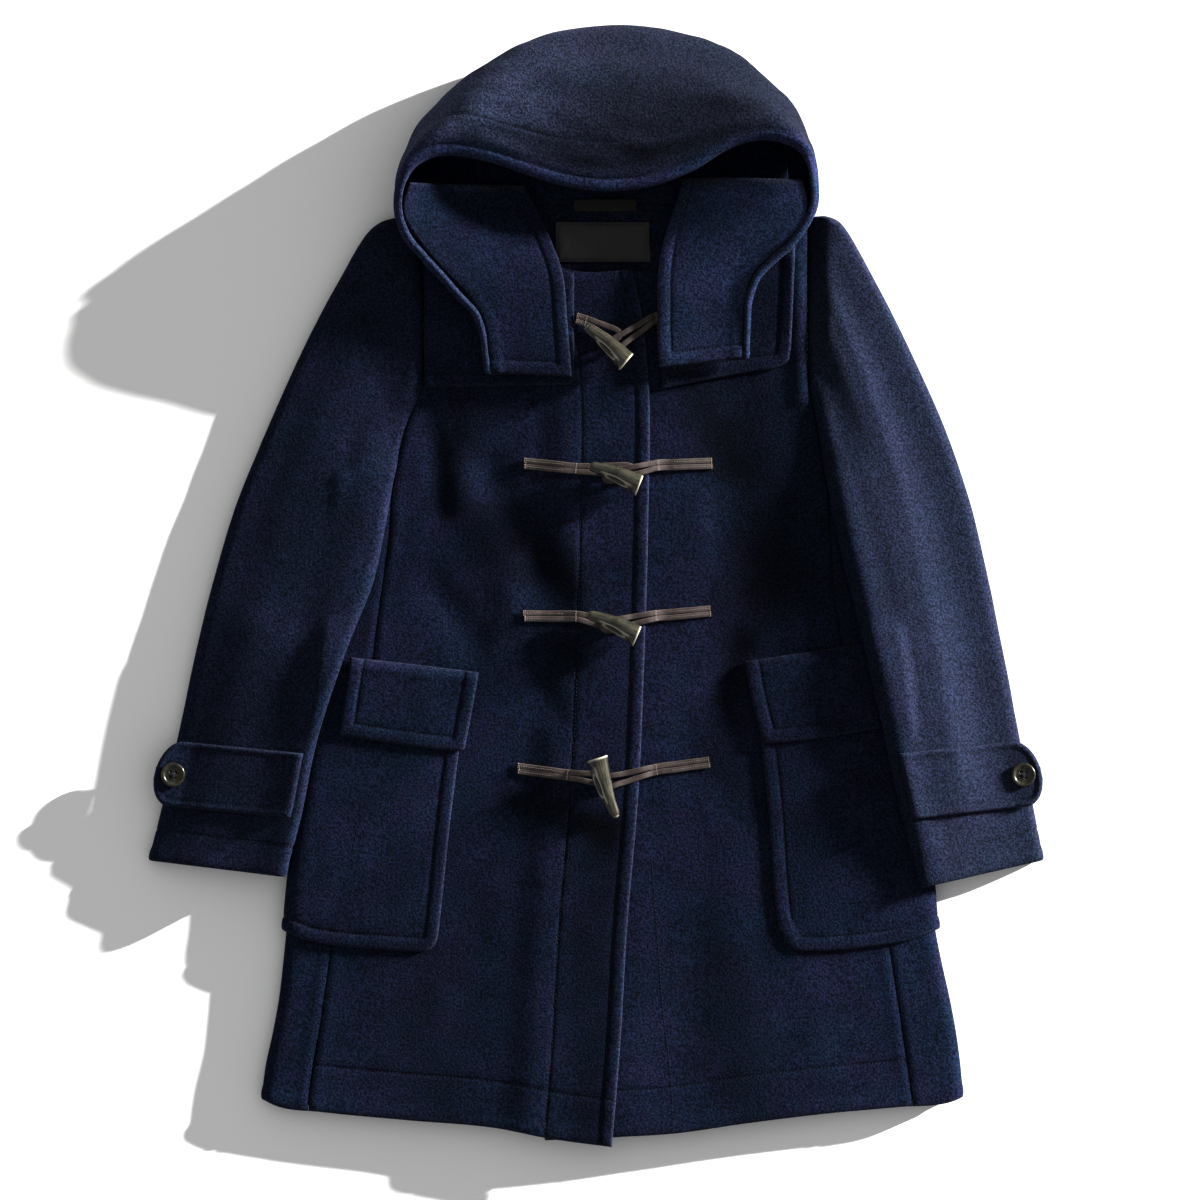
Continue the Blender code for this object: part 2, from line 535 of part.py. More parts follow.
def make_yokes():
    """Storm flaps over the shoulders, under the hood's lapels."""
    across, down = grid([0, 0.1, 0.4, 0.78, 0.93, 1], [0, 0.03, 0.1, 0.3, 0.6, 0.88, 1])
    x, y = patch(across, down, lambda v: YOKE_LEFT_START,
                 lambda v: np.interp(v, *zip(*YOKE_LEFT_INNER)),
                 lambda v: curve(FRONT_TOP, v) - YOKE_BELOW_SEAM,
                 lambda v: np.interp(v, *zip(*YOKE_LEFT_FOOT)))
    height_panel("yoke_left", x, y, upper_height(x, y) + LAYER + shoulder_air(x, y))
    x, y = patch(across, down, lambda v: YOKE_RIGHT_START,
                 lambda v: np.interp(v, *zip(*YOKE_RIGHT_OUTER)),
                 lambda v: curve(FRONT_TOP_RIGHT, v) - YOKE_BELOW_SEAM,
                 lambda v: np.interp(v, *zip(*YOKE_RIGHT_FOOT)))
    height_panel("yoke_right", x, y, front_height(x, y) + LAYER + shoulder_air(x, y))


# ---------------------------------------------------------------- pockets
def rounded_foot(table, inner_edge, direction):
    """A pocket's foot edge whose inner corner is an arc."""
    def foot(x):
        y = curve(table, x)
        corner_x = inner_edge - direction * POCKET_CORNER
        past = np.clip((x - corner_x) * direction, 0, POCKET_CORNER)
        return y + POCKET_CORNER - np.sqrt(1.0001 * POCKET_CORNER**2 - past**2)
    return foot


def pocket_height(x, y, side):
    """Outer face of a patch pocket over its front."""
    base = upper_height(x, y) if side < 0 else front_height(x, y)
    inner = curve(POCKET_LEFT if side < 0 else POCKET_RIGHT, y)
    from_edge = np.abs(x - inner)
    puff = POCKET_PUFF * ease(from_edge / POCKET_PUFF_RAMP)
    return base + LAYER + puff * ease((y - POCKET_PUFF_FOOT_Y) / POCKET_PUFF_RAMP)


def wrap_panel(name, side, inner_x, top, foot, offset, columns, rows):
    """A panel on the front that reaches round the rolled side to the outline."""
    quarter = roll_length()
    across, down = grid(columns, rows)
    outer = np.zeros((*across.shape, 3))
    inner = np.zeros_like(outer)
    middle_y = (top(0.0) + foot(0.0)) / 2
    for index in np.ndindex(across.shape):
        share, fall = across[index], down[index]
        x = inner_x(middle_y)
        y = mix(top(x), foot(x), fall)
        for _ in range(5):
            reach = abs(float(inner_x(y)) - float(outline_x(side, y))) - ROLL_REACH + quarter
            arc = reach * (1 - share)
            place = side_point(side, y, np.array(arc), 0.0)
            x = float(place[0])
            y = float(mix(top(x), foot(x), fall))
        thick = offset(x, y) * float(ease(arc / (quarter * 0.6) + 0.3))
        thick = max(thick, LAYER)
        outer[index] = side_point(side, y, np.array(arc), thick)
        inner[index] = side_point(side, y, np.array(arc), thick - WALL)
        if side < 0:
            rise = LAYER * float(overlap_rise(x, y))
            outer[index][2] += rise
            inner[index][2] += rise
    return make_wall(name, outer, inner)


def make_pockets():
    across = [0, 0.04, 0.08, 0.12, 0.2, 0.36, 0.56, 0.74, 0.85, 0.91, 0.96, 1.0]
    down = [0, 0.1, 0.3, 0.55, 0.78, 0.92, 1.0]
    for side, edge, foot_table, corner, flap_top in (
            (-1, POCKET_LEFT, POCKET_LEFT_FOOT, POCKET_INNER_X[0], FLAP_LEFT_TOP),
            (1, POCKET_RIGHT, POCKET_RIGHT_FOOT, POCKET_INNER_X[1], FLAP_RIGHT_TOP)):

        def edge_x(y, table=edge):
            return curve(table, y)

        def mouth(x, table=flap_top):
            return curve(table, x) - MOUTH_BELOW

        def stand_off(x, y, own_side=side):
            base = upper_height(x, y) if own_side < 0 else front_height(x, y)
            return float(pocket_height(x, y, own_side) - base)

        word = "left" if side < 0 else "right"
        wrap_panel("pocket_" + word, side, edge_x, mouth, rounded_foot(foot_table, corner, -side),
                   stand_off, across, down)


def make_flaps():
    rows = [0, 0.1, 0.24, 0.5, 0.8, 1.0]
    for side, edge, corner, head_table, foot_table in (
            (-1, FLAP_LEFT, FLAP_INNER_X[0], FLAP_LEFT_TOP, FLAP_LEFT_FOOT),
            (1, FLAP_RIGHT, FLAP_INNER_X[1], FLAP_RIGHT_TOP, FLAP_RIGHT_FOOT)):
        word = "left" if side < 0 else "right"

        def outer_edge(y, own=side):
            return outline_x(own, y) - own * FLAP_SHORT

        def inner_edge(y, table=edge):
            return curve(table, y)

        def head(x, table=head_table):
            return curve(table, x)

        def foot(x, table=foot_table, end=corner):
            past = np.clip(FLAP_CORNER - np.abs(x - end), 0, FLAP_CORNER)
            return curve(table, x) + FLAP_CORNER - np.sqrt(1.02 * FLAP_CORNER**2 - past**2)

        across, down = grid([0, 0.25, 0.5, 0.75, 0.93, 1.0], rows)
        if side < 0:
            x, y = patch(across, down, outer_edge, inner_edge, head, foot)
        else:
            x, y = patch(1 - across, down, inner_edge, outer_edge, head, foot)
        base = upper_height(x, y) if side < 0 else front_height(x, y)
        below = head(x) - y
        stacked = pocket_height(x, y, side) - base + LAYER
        z = base + mix(LAYER, stacked, ease(below / 9.0))
        height_panel("pocket_flap_" + word, x, y, z)


# ---------------------------------------------------------------- sleeves
def climb(side, x, y):
    """Height of what lies under a sleeve: the floor, or the body's rolled side."""
    beside = np.clip(side * (x - outline_x(side, y)), 0, None)
    above = np.clip(y - (UNDERARM_Y + 2), 0, None)
    share = ease(1 - (np.hypot(beside, above) - 2.0) / RAMP)
    return share * (curve(SIDE_STACK, y) + 1.0)


def sleeve_section(side, station, inset):
    """The section's values, moved in by inset for the sleeve's inner face."""
    table = SLEEVE_LEFT if side < 0 else SLEEVE_RIGHT
    ox, oy, ix, iy, outer_top, inner_top, puff, roll = curve(table, station)
    outer, inner = np.array([ox, oy]), np.array([ix, iy])
    width = np.linalg.norm(inner - outer)
    direction = (inner - outer) / width
    return outer + direction * inset, direction, width - 2 * inset, outer_top, inner_top, puff, \
        max(roll - inset, 1.2)


def sleeve_top(side, station, reach, inset=0.0):
    """Height of the sleeve's upper face, without its rolled edges."""
    _, _, width, outer_top, inner_top, puff, _ = sleeve_section(side, station, inset)
    share = np.clip(reach / width, 0, 1)
    return mix(outer_top, inner_top, ease(share)) + puff * (1 - (2 * share - 1) ** 2) - inset


def sleeve_point(side, station, reach, face, inset=0.0):
    """face is +1 on the upper face and -1 on the under face; reach is from the outer edge."""
    start, direction, width, _, _, _, roll = sleeve_section(side, station, inset)
    reach = float(np.clip(reach, 0, width))
    x, y = start + direction * reach
    if y > UNDERARM_Y:
        x = side * max(side * x, side * float(seam_x(side, y)) + 2 * SEAM + inset * (station > 0.9))
    low = float(climb(side, x, y)) + inset
    high = max(float(sleeve_top(side, station, reach, inset)), low + MIN_SLEEVE - 2 * inset)
    from_edge = min(reach, width - reach)
    open_share = math.sqrt(max(0.0, 1 - (1 - min(from_edge / roll, 1.0)) ** 2))
    return (x, y, (high + low) / 2 + face * open_share * (high - low) / 2)


def roll_steps(roll):
    return [roll * (1 - math.cos(a * math.pi / 6)) for a in range(4)]


def make_sleeve(side):
    word = "left" if side < 0 else "right"
    stations = np.concatenate([[0, 0.5, 1, 1.6, 2.3], np.linspace(3, 11, 17)])
    faces = {"upper": [], "under": []}
    for inset in (0.0, WALL):
        upper, under = [], []
        for station in stations:
            _, _, width, _, _, _, roll = sleeve_section(side, station, inset)
            seam = UNDER_SEAM_IN - inset
            steps = roll_steps(roll)
            path = [(seam, -1)] + [(s, -1) for s in reversed(steps[1:])] + [(0.0, 1)]
            path += [(s, 1) for s in steps[1:]]
            path += [(mix(roll, width - roll, t), 1) for t in (0.16, 0.34, 0.5, 0.66, 0.84)]
            path += [(width - s, 1) for s in reversed(steps[1:])] + [(width, 1)]
            path += [(width - s, -1) for s in steps[1:]] + [(width - seam, -1)]
            upper.append([sleeve_point(side, station, r, f, inset) for r, f in path])
            inside = [mix(seam + SEAM, width - seam - SEAM, t) for t in (0, 0.3, 0.55, 0.72, 0.86, 1)]
            under.append([sleeve_point(side, station, r, -1, inset) for r in inside])
        faces["upper"].append(np.array(upper))
        faces["under"].append(np.array(under))
    make_wall("sleeve_%s_upper" % word, *faces["upper"])
    make_wall("sleeve_%s_under" % word, *faces["under"])


def strap_frame(side, station, reach):
    """A point on the cuff strap's under face; it runs level under the button and past the edge."""
    start, direction, width, _, _, _, _ = sleeve_section(side, station, 0.0)
    x, y = start + direction * reach
    inside = float(np.clip(reach, STRAP_LEVEL, width - STRAP_SHORT))
    return np.array([x, y, sleeve_point(side, station, inside, 1)[2] + LAY + 0.3])


def make_cuff_straps():
    for side in (-1, 1):
        word = "left" if side < 0 else "right"
        width = sleeve_section(side, sum(STRAP_STATIONS) / 2, 0.0)[2]
        middle = sum(STRAP_STATIONS) / 2
        half = (STRAP_STATIONS[1] - STRAP_STATIONS[0]) / 2
        reaches = np.concatenate([-STRAP_PROUD + 13 * (1 - np.cos(np.linspace(0, 1.2, 5))),
                                  np.linspace(4, width - STRAP_SHORT, 8)])
        outer, inner = [], []
        for fall in (-1, -0.6, -0.2, 0.2, 0.6, 1):
            upper, lower = [], []
            for reach in reaches:
                from_end = reach + STRAP_PROUD
                pinch = math.sqrt(max(0.04, 1 - (1 - min(from_end / 20.0, 1)) ** 2))
                station = middle + fall * half * pinch
                if reach > 0:
                    reach *= sleeve_section(side, station, 0.0)[2] / width
                place = strap_frame(side, station, reach)
                lower.append(place)
                upper.append(place + np.array([0, 0, STRAP_THICK]))
            outer.append(upper)
            inner.append(lower)
        make_wall("cuff_strap_" + word, np.array(outer), np.array(inner))


def make_buttons():
    """Turned buttons with a raised rim and a dished middle."""
    sides = BUTTON_SIDES
    for side in (-1, 1):
        word = "left" if side < 0 else "right"
        place = strap_frame(side, BUTTON_STATION, BUTTON_IN) + np.array([0, 0, STRAP_THICK + LAY])
        vertices, faces = [place], []
        for radius, height in BUTTON_PROFILE[1:-1]:
            for s in range(sides):
                angle = 2 * math.pi * s / sides
                around = BUTTON_R * radius * np.array([math.cos(angle), math.sin(angle)])
                vertices.append(place + np.array([*around, BUTTON_THICK * height]))
        vertices.append(place + np.array([0, 0, BUTTON_THICK * BUTTON_PROFILE[-1][1]]))
        rings = len(BUTTON_PROFILE) - 2
        for s in range(sides):
            t = (s + 1) % sides
            faces.append((0, 1 + t, 1 + s))
            for r in range(rings - 1):
                a, b = 1 + r * sides, 1 + (r + 1) * sides
                faces.append((a + s, a + t, b + t, b + s))
            last = 1 + (rings - 1) * sides
            faces.append((last + s, last + t, len(vertices) - 1))
        make_object("cuff_button_" + word, vertices, faces, "button")


# ---------------------------------------------------------------- hood
def hood_station(position):
    """Four points of the hood's outer face at a place along the face opening."""
    return curve(numbered(HOOD_SECTIONS), position).reshape(*np.shape(position), 4, 3)


def hood_face(position, share):
    """A point of the hood's outer face, from the rim (0) to its end near the floor (1)."""
    rim, crest, side, end = hood_station(position)
    legs = [np.linalg.norm(b - a) + 1e-6 for a, b in ((rim, crest), (crest, side), (side, end))]
    key = np.cumsum([0.0] + legs) / sum(legs)
    rows = [(key[0], *rim), (key[1], *crest), (key[2], *side), (key[3], *end)]
    if legs[1] > 12.0:
        shoulder = mix(crest, side, 0.62) + np.array([0, 0, (crest[2] - side[2]) * 0.3])
        rows.insert(2, (mix(key[1], key[2], 0.62), *shoulder))
    if legs[2] > 12.0:
        low = mix(side, end, 0.45)
        low[2] = mix(side[2], end[2], 0.82)
        rows.insert(-1, (mix(key[-2], key[-1], 0.45), *low))
    return curve(rows, share)


def hood_shares(position):
    """Shares of the points along a section: few on the rim, most over the dome."""
    rim, crest, side, end = hood_station(position)
    legs = [np.linalg.norm(b - a) + 1e-6 for a, b in ((rim, crest), (crest, side), (side, end))]
    key = np.cumsum([0.0] + legs) / sum(legs)
    first = np.linspace(0, key[1], 3)
    second = np.linspace(key[1], key[2], 6)[1:]
    third = np.linspace(key[2], 1, 5)[1:]
    return np.concatenate([first, second, third])


def hood_stations():
    return np.linspace(0, len(HOOD_SECTIONS) - 1, 41)


def make_hood_crown():
    stations = hood_stations()
    outer = []
    for station in stations:
        outer.append([hood_face(station, s) for s in hood_shares(station)])
    outer = np.array(outer)
    down = np.gradient(outer, axis=1)
    along = np.gradient(outer, axis=0)
    normal = np.cross(along, down)
    normal /= np.linalg.norm(normal, axis=2, keepdims=True)
    if normal[len(stations) // 2, 3, 2] < 0:
        normal = -normal
    distance = np.cumsum(np.linalg.norm(np.diff(outer, axis=1, prepend=outer[:, :1]), axis=2), axis=1)
    thick = mix(HEM_FOLD, WALL, ease((distance - RIM_FOLD) / 3.0))
    inner = outer - normal * thick[..., None]
    floor = outer[..., 2] < SEAM
    inner[..., 2] = np.where(floor, np.maximum(inner[..., 2], WALL), inner[..., 2])
    outer[..., 2] = np.where(floor, 0.0, outer[..., 2])
    return make_wall("hood_crown", outer, inner)


def make_hood_back():
    """The hood's layer on the floor, from the crown's end to the neck seam."""
    first, last = HOOD_BACK_SECTIONS
    stations = [s for s in hood_stations() if first <= s <= last]
    starts = []
    for station in stations:
        side, end = hood_station(station)[2:, :2]
        inward = (end - side) / np.linalg.norm(end - side)
        starts.append(end + inward * 3 * SEAM)
    outer = []
    for fall in (0, 0.12, 0.3, 0.5, 0.7, 0.86, 1.0):
        row = []
        for number, start in enumerate(starts):
            x_low = mix(NECK_SEAM[0][0], NECK_SEAM[-1][0], number / (len(starts) - 1))
            row.append((*mix(start, np.array([x_low, float(curve(NECK_SEAM, x_low))]), fall), 0.0))
        outer.append(row)
    outer = np.array(outer)
    return make_wall("hood_back", outer, outer + np.array([0, 0, WALL]))


def make_lapels():
    for word, table in (("left", LAPEL_LEFT), ("right", LAPEL_RIGHT)):
        across, down = grid([0, 0.07, 0.2, 0.36, 0.52, 0.68, 0.84, 0.94, 1], 13)
        ends = curve(table, down[:, 0])
        outer = np.zeros((*across.shape, 3))
        for row, values in enumerate(ends):
            first, second = values[:3], values[3:]
            for column, share in enumerate(across[row]):
                sag = math.sin(math.pi * share) * LAPEL_SAG * abs(first[2] - second[2])
                outer[row, column] = mix(first, second, share) - np.array([0, 0, sag])
        make_wall("hood_lapel_" + word, outer, outer - np.array([0, 0, WALL]))


# ---------------------------------------------------------------- toggles and leather
def placket_height(x, y):
    """Outer face of whatever the toggles lie on."""
    on_upper = np.asarray(x) < free_edge_x(y) + 2
    return np.where(on_upper, upper_height(x, y), mix(upper_height(x, y), front_height(x, y),
                    ease((x - free_edge_x(y) - 2) / 14.0)))


def make_toggles():
    """Horn toggles: a tapered, slightly bowed horn with a flat cut end."""
    for number, (tip_x, tip_y, end_x, end_y) in enumerate(TOGGLES, start=1):
        tip, end = np.array([tip_x, tip_y], float), np.array([end_x, end_y], float)
        direction = (end - tip) / np.linalg.norm(end - tip)
        beside = np.array([-direction[1], direction[0]])
        level = max(float(placket_height(*mix(tip, end, share))) for share in (0, 0.25, 0.5, 0.75, 1))
        rings = []
        for share, full in TOGGLE_SECTIONS:
            radius = mix(TOGGLE_TIP_R, TOGGLE_END_R, share**0.9) * full
            centre = mix(tip, end, share) + beside * TOGGLE_BOW * math.sin(math.pi * share)
            height = level + (YOKE_RISE if number == 1 else 0.0) + LEATHER_STACK + radius * TOGGLE_FLAT
            ring = []
            for s in range(TOGGLE_SIDES):
                angle = 2 * math.pi * s / TOGGLE_SIDES
                flat = centre + beside * radius * math.cos(angle)
                ring.append((flat[0], flat[1], height + radius * TOGGLE_FLAT * math.sin(angle)))
            rings.append(ring)
        make_tube("toggle_%d" % number, rings, "horn")


def make_ribbon(name, path, width, thick, material="leather"):
    """A flat strip along a path of points."""
    path = np.array(path, float)
    along = np.gradient(path, axis=0)
    along /= np.linalg.norm(along, axis=1, keepdims=True)
    rings = []
    for place, heading in zip(path, along):
        beside = np.cross([0, 0, 1.0], heading)
        beside /= np.linalg.norm(beside)
        up = np.cross(heading, beside)
        half_w, half_t = beside * width / 2, up * thick / 2
        rings.append([place - half_w - half_t, place + half_w - half_t,
                      place + half_w + half_t, place - half_w + half_t])
    return make_tube(name, rings, material)


def loop_path(outer, knee, far, height):
    """Both legs of a folded strip: side by side to the knee, then open round the far end."""
    outer, knee, far = (np.array(place, float) for place in (outer, knee, far))
    first = (knee - outer) / np.linalg.norm(knee - outer)
    second = (far - knee) / np.linalg.norm(far - knee)
    leg = []
    for share in (0.0, 0.3, 0.65, 1.0):
        leg.append((mix(outer, knee, share), first, LEG_APART / 2))
    for share in (0.35, 0.7, 1.0):
        leg.append((mix(knee, far, share), second, mix(LEG_APART, LOOP_WIDE, ease(share)) / 2))
    beside = np.array([[-h[1], h[0]] for _, h, _ in leg])
    one = [place + b * half for (place, _, half), b in zip(leg, beside)]
    other = [place - b * half for (place, _, half), b in zip(leg, beside)]
    turn = [far + (LOOP_WIDE / 2) * (second * math.sin(a) + beside[-1] * math.cos(a))
            for a in (math.pi * k / 5 for k in range(1, 5))]
    plan = one + turn + other[::-1]
    return [(x, y, height(x, y)) for x, y in plan]


def make_leather():
    """Narrow leather strips folded in two: the left ones carry a toggle, the right ones go
    over the left ones and round it."""
    for number, (left, right) in enumerate(zip(STRAPS_LEFT, STRAPS_RIGHT), start=1):
        rise = (YOKE_RISE if number == 1 else 0.0) + STRIP_AIR + LEATHER / 2

        def low(x, y, rise=rise):
            return float(placket_height(x, y)) + rise

        def high(x, y, rise=rise, far=left[4]):
            over = float(ease(1 - (x - far - LOOP_WIDE) / CROSS_RAMP))
            return float(placket_height(x, y)) + rise + CROSS_RISE * over

        make_ribbon("strap_left_%d" % number, loop_path(left[:2], left[2:4], left[4:], low), LEG_W, LEATHER)
        make_ribbon("strap_right_%d" % number, loop_path(right[:2], right[2:4], right[4:], high),
                    LEG_W, LEATHER)


# ---------------------------------------------------------------- label and hanger
def make_neck_parts():
    x0, y0, x1, y1 = LABEL
    across, down = grid(5, 3)
    x, y = mix(x0, x1, across), mix(y1, y0, down)
    height_panel("neck_label", x, y, WALL + TRIM_AIR + LABEL_THICK, LABEL_THICK, "label")
    x0, y0, x1, y1 = HANGER
    across, down = grid(9, 3)
    x, y = mix(x0, x1, across), mix(y1, y0, down)
    rise = HANGER_RISE * np.sin(math.pi * across)
    height_panel("hanger_loop", x, y, WALL + TRIM_AIR + HANGER_THICK + rise, HANGER_THICK, "tape")


def main():
    for item in list(bpy.data.objects):
        bpy.data.objects.remove(item, do_unlink=True)
    make_back()
    make_front_left()
    make_front_right()
    make_yokes()
    make_pockets()
    make_flaps()
    for side in (-1, 1):
        make_sleeve(side)
    make_cuff_straps()
    make_buttons()
    make_hood_crown()
    make_hood_back()
    make_lapels()
    make_toggles()
    make_leather()
    make_neck_parts()


main()
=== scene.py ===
"""Finish of a hooded wool duffle coat that lies flat, front up, on a pale floor.

Lengths are in millimetres until a mesh is made. X runs to the wearer's left side, Y from the
hem to the hood and Z up. "Left" and "right" are as seen from above.
"""
import math

import bpy
import numpy as np
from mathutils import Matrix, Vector
from mathutils.bvhtree import BVHTree


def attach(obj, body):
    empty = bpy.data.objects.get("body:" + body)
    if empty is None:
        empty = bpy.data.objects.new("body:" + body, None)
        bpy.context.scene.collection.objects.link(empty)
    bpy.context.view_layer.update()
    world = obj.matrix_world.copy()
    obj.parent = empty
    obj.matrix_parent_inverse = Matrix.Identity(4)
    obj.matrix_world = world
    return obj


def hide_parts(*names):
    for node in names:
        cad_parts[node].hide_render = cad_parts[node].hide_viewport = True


bl_info = {
    "name": "Duffle Coat Finish",
    "version": (1, 0, 0),
    "blender": (4, 5, 0),
    "location": "View3D > Sidebar > Coat",
    "description": "Felted wool, leather, horn and stitching of a duffle coat that lies flat",
    "category": "Object",
}

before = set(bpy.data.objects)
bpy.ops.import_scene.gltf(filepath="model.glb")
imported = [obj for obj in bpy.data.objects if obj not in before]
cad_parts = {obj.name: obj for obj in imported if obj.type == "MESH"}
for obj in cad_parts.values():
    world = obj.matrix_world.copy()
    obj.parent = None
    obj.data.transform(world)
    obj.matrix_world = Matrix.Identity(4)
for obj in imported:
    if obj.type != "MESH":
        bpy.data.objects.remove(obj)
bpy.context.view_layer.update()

MM = 0.001

# ---- Cloth ----
WALL = 2.8             # thickness of the felted wool
SEAM = 0.06            # gap between two pieces that are sewn edge to edge
LAY = 0.8              # air under a piece that lies on another
LAYER = WALL + LAY     # what one lying piece adds to the height

# ---- Body, seen from above ----
BACK_HEAD_Y = 339.0    # the back's grid runs level between these before its seams and hem are shaped
BACK_FOOT_Y = -472.0
SIDE_FOLD = 15.0       # height of the rolled side
ROLL_REACH = 12.0      # distance from the outline to where the roll is level
CROWN = 5.0            # how much higher the middle of the front lies
CROWN_X = 15.0         # its middle, and how far it reaches at the chest and per mm below
CROWN_HALF = 250.0
CROWN_FLARE = 0.14
CHEST_Y = 100.0
OVERLAP = 62.0         # width of the lower front that is under the upper one
OVERLAP_START = 44.0
OVERLAP_CLIMB = 30.0
UNDERARM_Y = 96.0
UNDERARM_TURN = 14.0
SHOULDER = [(-158, 339), (-96, 343), (132, 343), (194, 339)]   # x, y of the front's shoulder
SHOULDER_ROLL = 20.0
SHOULDER_TOP = 2 * WALL + 0.6
SHOULDER_AIR = 1.6
SHOULDER_AIR_REACH = 26.0
OUTLINE = [            # y, left outline, right outline
    (-472, -307.5, 337.5), (-440, -303.5, 335), (-410, -297, 331), (-380, -291.5, 325.5),
    (-351, -288, 319), (-316, -284.5, 312), (-262, -279.5, 306.5), (-160, -264, 290.5),
    (-49, -247.5, 275), (24, -240, 265), (100, -233, 255)]
SIDE_SEAMS = [         # y, left seam, right seam: side seam below the underarm, armhole above
    (-472, -264, 290.5), (-380, -250, 277), (-242, -231, 255), (-160, -219, 242),
    (-58, -204, 226.5), (-12, -198, 219), (43, -190.5, 215.5), (90, -187, 212.5),
    (116, -182, 208), (147, -174, 202.5), (168, -165, 199), (186, -159, 195),
    (206, -158, 194), (260, -158, 194), (343, -158, 194)]
FREE_EDGE = [          # y, x of the upper front's free edge
    (-516, 14.5), (-426, 22), (-316, 28.5), (-182, 39.5), (-77, 44), (61, 48),
    (193, 48), (227, 45), (253, 41.5), (290, 34)]
HEM_LEFT = [           # x, y of the left front's hem
    (-306.5, -471.5), (-294, -477), (-253, -482.5), (-173, -490), (-90, -497.5),
    (-43, -506.5), (15.5, -514.5)]
HEM_RIGHT = [          # x, y of the right front's hem
    (-50, -508.5), (18.5, -505.5), (73.5, -502), (133.5, -493.5), (216, -483.5),
    (278, -478), (326, -473.5), (337.5, -469.5)]
HEM_BACK = [           # x, y of the back's hem
    (-306, -470), (-253, -479), (-90, -492), (16, -500), (133, -489), (278, -474), (337, -468)]
FRONT_TOP = [          # x, y of the shoulder seam and neckline, left front
    (-158, 339), (-110, 337), (-86, 331), (-62, 315), (-40, 296), (-26, 291), (34, 290.5)]
FRONT_TOP_RIGHT = [    # x, y of the neckline and shoulder seam, right front
    (-28, 289), (40, 289.5), (64, 293), (84, 312), (104, 330), (130, 337), (194, 339)]
BACK_TOP = [           # x, y of the back's shoulder seams and neck seam
    (-158, 339), (-96, 343), (-70, 349.5), (-30, 351.5), (14, 351.5), (60, 351.5),
    (104, 349.5), (132, 343), (194, 339)]
FOLDS = [              # x0, y0, x1, y1, height, reach: soft ridges (+) and troughs (-)
    (-154, 168, -141, 70, -3.0, 12), (-98, 108, -36, -12, -3.4, 17),
    (-152, 6, -112, -52, -2.4, 15), (-60, -66, -34, -122, -2.4, 13),
    (-128, 96, -66, -30, 2.4, 22), (110, -104, 133, -58, -1.8, 12),
    (187, 48, 187, -46, 2.0, 14), (86, 160, 88, -40, 2.0, 26),
    (-60, -250, -70, -440, 1.8, 40), (120, -250, 140, -440, 2.2, 40)]
UNDERLAP_LINE = [      # y, x of the stitch line of the lower front's facing
    (-506, 71), (-456, 69), (-383, 61), (-316, 56), (-250, 51)]

# ---- Yokes, pockets and flaps on the fronts ----
YOKE_BELOW_SEAM = 2.0
YOKE_LEFT_START = -156.8
YOKE_LEFT_INNER = [(150, -24), (182, -24), (190, -20), (345, -20)]      # y, x
YOKE_LEFT_FOOT = [(-160, 182.3), (-20, 185.1)]                          # x, y
YOKE_RIGHT_START = 61.0
YOKE_RIGHT_OUTER = [(204, 176), (218, 178.5), (317, 183), (340, 184)]   # y, x
YOKE_RIGHT_FOOT = [(61, 181.5), (145, 197.5), (166, 201), (176, 207), (181, 215)]
POCKET_CORNER = 17.0   # radius of a patch pocket's inner corner
POCKET_INNER_X = (-145.0, 171.5)
POCKET_PUFF_RAMP = 40.0
POCKET_PUFF_FOOT_Y = -336.0
POCKET_PUFF = 1.6      # how far a patch pocket stands off the front in its middle
POCKET_LEFT = [        # y, x of the inner edge
    (-340, -147), (-290, -141.5), (-214, -133.5), (-153, -126), (-70, -116)]
POCKET_LEFT_FOOT = [(-290, -312), (-276, -321), (-244, -329), (-207, -332.5), (-140, -336.5)]
POCKET_RIGHT = [       # y, x of the inner edge
    (-340, 171.5), (-290, 164.5), (-203, 158), (-148, 152), (-70, 145)]
POCKET_RIGHT_FOOT = [(164, -333.5), (210, -334.5), (253, -330.5), (288, -324.5), (318, -312)]
MOUTH_BELOW = 13.0     # distance from a flap's upper edge down to the pocket's mouth
FLAP_LEFT = [          # y, x of the inner edge
    (-152, -121), (-110, -113), (-70, -106)]
FLAP_RIGHT = [(-152, 155.5), (-110, 144.5), (-60, 134.5)]
FLAP_LEFT_TOP = [(-262, -60), (-231, -64), (-170, -71), (-104, -79)]
FLAP_LEFT_FOOT = [(-262, -134), (-246, -135.5), (-186, -144), (-133, -150.5), (-112, -151.5)]
FLAP_RIGHT_TOP = [(134, -69), (190, -60.5), (240, -53), (284, -47)]
FLAP_RIGHT_FOOT = [(145, -144.5), (165, -143.5), (210, -138.5), (262, -130), (300, -125)]
FLAP_CORNER = 8.0      # radius of a flap's inner corner
FLAP_INNER_X = (-118.5, 152.5)
FLAP_SHORT = 24.0      # distance of a flap's outer end from the body's outline

